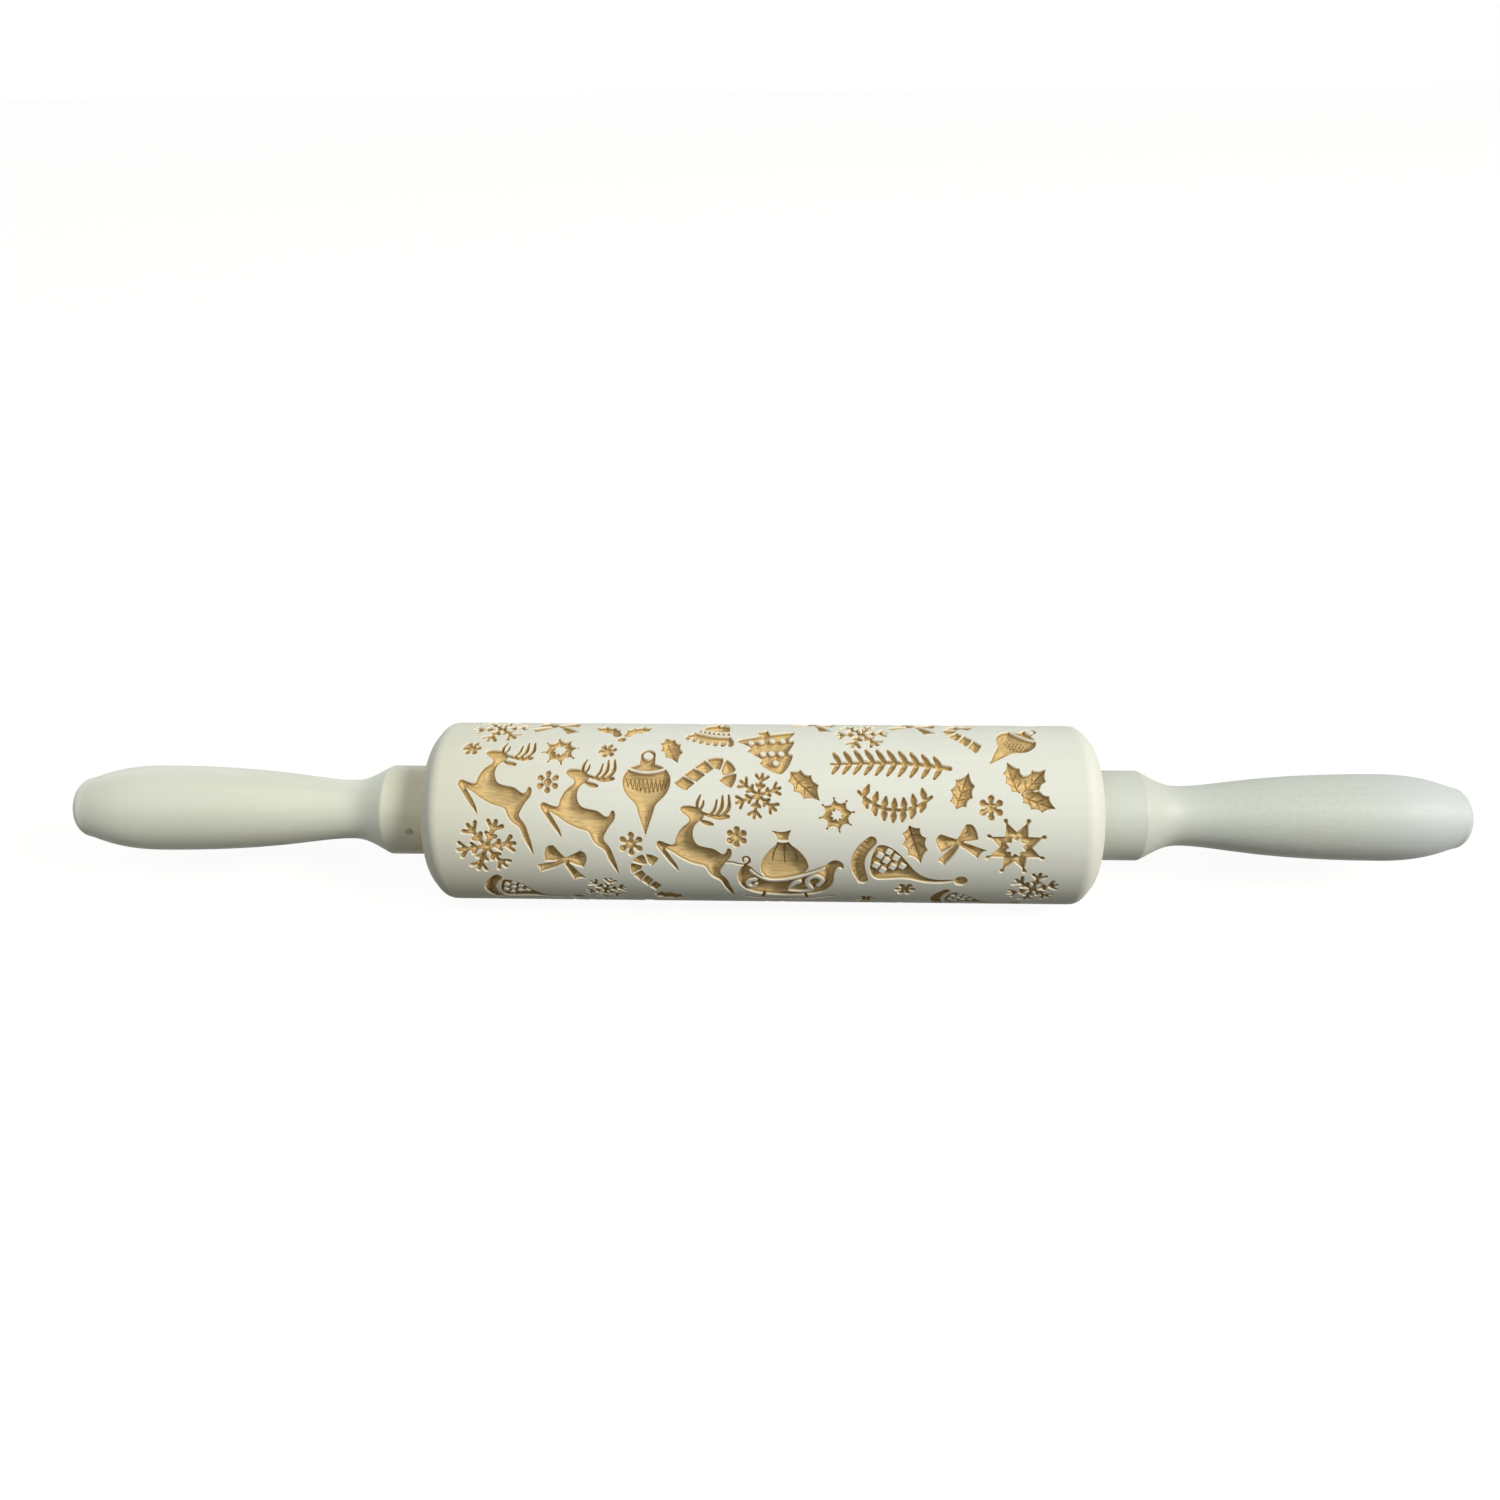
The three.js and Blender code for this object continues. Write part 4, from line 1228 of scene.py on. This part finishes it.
# Stage
class StageSettings(bpy.types.PropertyGroup):
    """Camera, light and floor."""

    distance: millimetres("Distance", "From the barrel's middle to the camera", 288.8)
    aside: millimetres("Aside", "The camera's place along the pin", 5)
    elevation: degrees("Elevation", "Height of the camera", 35)
    yaw: setting("Yaw", "Turn of the view towards the right end", -0.0279, subtype="ANGLE")
    pitch: setting("Pitch", "Lift of the view above the pin", 0.0549, subtype="ANGLE")
    roll: setting("Roll", "Tilt of the pin in the picture", 0.0082, subtype="ANGLE")
    lens: setting("Lens", "Focal length in millimetres", 27.2, unit="CAMERA")
    key_power: setting("Key", "Power of the lamp at the upper right", 74, unit="POWER")
    key_colour: tint("Key Colour", "Colour of the lamp at the upper right", 1.0, 0.98, 0.93)
    key_width: millimetres("Key Width", "Width of that lamp", 900)
    key_distance: millimetres("Key Distance", "From the barrel's middle to that lamp", 3000)
    fill_strength: setting("Fill", "Strength of the light from all round", 0.055)
    fill_colour: tint("Fill Colour", "Colour of the light from all round", 1.0, 0.98, 0.95)
    sky_strength: setting("Sky", "Strength of the cool light from above", 1.25)
    sky_colour: tint("Sky Colour", "Colour of the light from above", 0.86, 0.94, 1.0)
    sky_softness: degrees("Sky Softness", "Width of that light in the sky", 60)
    back_strength: setting("Back", "Strength of the cool light from behind", 1.3)
    floor_colour: tint("Floor", "Colour of the floor", 0.1, 0.094, 0.075)
    floor_glow: share_of("Floor Glow", "How much of the floor's white the camera sees without light", 0.94)


KEY_WAY = (0.72, -0.37, 0.587)
SKY_WAY = (-0.2, -0.5, 0.84)
BACK_WAY = (-0.5, 0.85, 0.15)
FLOOR_REACH = 6
FLOOR_DROP = 0.2 * MM


def seen_directly(tree):
    """One for rays from the camera, or by way of a reflection or through glass, and nought for others."""
    rays = add(tree, "LightPath").outputs
    total = rays["Is Camera Ray"]
    for name in ("Is Glossy Ray", "Is Transmission Ray"):
        total = add(tree, "Math", {0: total, 1: rays[name]}, operation="MAXIMUM").outputs[0]
    return total


def make_floor(stage):
    bm = bmesh.new()
    below = Matrix.Translation((0, 0, -FLOOR_DROP))
    bmesh.ops.create_grid(bm, x_segments=1, y_segments=1, size=FLOOR_REACH, matrix=below)
    material, tree = new_material("pale_floor")
    glow = add(tree, "Math", {0: seen_directly(tree), 1: stage.floor_glow}, operation="MULTIPLY")
    finish_material(
        material, base_color=(*stage.floor_colour, 1), roughness=1.0, specular_ior_level=0.0,
        emission_color=(1, 1, 1, 1), emission_strength=glow.outputs[0])
    floor = linked("floor", mesh_of("floor", bm))
    floor.data.materials.append(material)


def make_world(stage):
    world = bpy.data.worlds.new("studio")
    world.use_nodes = True
    tree = world.node_tree
    fill = tree.nodes["Background"]
    fill.inputs["Color"].default_value = (*stage.fill_colour, 1)
    fill.inputs["Strength"].default_value = stage.fill_strength
    white = add(tree, "Background", {"Color": (1, 1, 1, 1), "Strength": 1.0})
    both = add(tree, "MixShader", {0: seen_directly(tree), 1: fill.outputs[0], 2: white.outputs[0]})
    connect(tree.nodes["World Output"].inputs["Surface"], both.outputs[0])
    bpy.context.scene.world = world


def make_lamp(kind, name, towards, distance, energy, colour):
    """A lamp that shines on the pin from a direction. Gives its settings."""
    lamp = bpy.data.lights.new(name, kind)
    lamp.energy = energy
    lamp.color = colour
    holder = linked(name, lamp)
    way = Vector(towards).normalized()
    holder.location = AXIS + way * distance
    holder.rotation_euler = way.to_track_quat("Z", "Y").to_euler()
    return lamp


def make_lights(stage):
    key = make_lamp("AREA", "key", KEY_WAY, stage.key_distance, stage.key_power, stage.key_colour)
    key.shape = "DISK"
    key.size = stage.key_width
    suns = ("sky", SKY_WAY, stage.sky_strength), ("back", BACK_WAY, stage.back_strength)
    for name, way, strength in suns:
        sun = make_lamp("SUN", name, way, stage.key_distance, strength, stage.sky_colour)
        sun.angle = stage.sky_softness


def make_camera(stage):
    out = Vector((0, -math.cos(stage.elevation), math.sin(stage.elevation)))
    place = Matrix.Translation(AXIS + out * stage.distance + Vector((stage.aside, 0, 0)))
    level = Matrix.Rotation(math.pi / 2 - stage.elevation, 4, "X")
    camera = linked("camera", bpy.data.cameras.new("camera"))
    camera.data.lens = stage.lens
    view = place @ level
    for turn, axis in ((-stage.yaw, "Y"), (stage.pitch, "X"), (stage.roll, "Z")):
        view = view @ Matrix.Rotation(turn, 4, axis)
    camera.matrix_world = view
    bpy.context.scene.camera = camera


class ROLLINGPIN_OT_set_stage(bpy.types.Operator):
    """Set up the floor, the light and the camera"""

    bl_idname = "rolling_pin.set_stage"
    bl_label = "Set Stage"

    def execute(self, context):
        stage = context.scene.rolling_pin.stage
        make_floor(stage)
        make_world(stage)
        make_lights(stage)
        make_camera(stage)
        context.scene.view_settings.view_transform = "Standard"
        return {"FINISHED"}


# Add-on
class RollingPinSettings(bpy.types.PropertyGroup):
    """Everything about the rolling pin that can be set."""

    barrel: PointerProperty(name="Barrel", description="The engraved barrel", type=BarrelSettings)
    handle: PointerProperty(name="Handles", description="The turned handles", type=HandleSettings)
    fittings: PointerProperty(name="Running Gear", description="What is inside", type=FittingSettings)
    stage: PointerProperty(name="Stage", description="Floor, light and camera", type=StageSettings)


BUILD_STEPS = (
    ROLLINGPIN_OT_set_stage,
    ROLLINGPIN_OT_engrave_barrel,
    ROLLINGPIN_OT_turn_handles,
    ROLLINGPIN_OT_fit_running_gear,
)


class ROLLINGPIN_PT_sidebar(bpy.types.Panel):
    """Lists the steps that build the rolling pin, and its settings"""

    bl_label = "Rolling Pin"
    bl_idname = "ROLLINGPIN_PT_sidebar"
    bl_space_type = "VIEW_3D"
    bl_region_type = "UI"
    bl_category = "Rolling Pin"

    def draw(self, context):
        for step in BUILD_STEPS:
            self.layout.operator(step.bl_idname)
        settings = context.scene.rolling_pin
        for group in (settings.barrel, settings.handle, settings.fittings, settings.stage):
            box = self.layout.box()
            for name in group.__annotations__:
                box.prop(group, name)


CLASSES = (
    BarrelSettings,
    HandleSettings,
    FittingSettings,
    StageSettings,
    RollingPinSettings,
    *BUILD_STEPS,
    ROLLINGPIN_PT_sidebar,
)


def register():
    for cls in CLASSES:
        bpy.utils.register_class(cls)
    bpy.types.Scene.rolling_pin = PointerProperty(type=RollingPinSettings)


def unregister():
    del bpy.types.Scene.rolling_pin
    for cls in reversed(CLASSES):
        bpy.utils.unregister_class(cls)


def main():
    register()
    bpy.ops.rolling_pin.set_stage()
    bpy.ops.rolling_pin.engrave_barrel()
    bpy.ops.rolling_pin.turn_handles()
    bpy.ops.rolling_pin.fit_running_gear()


if __name__ == "__main__":
    main()
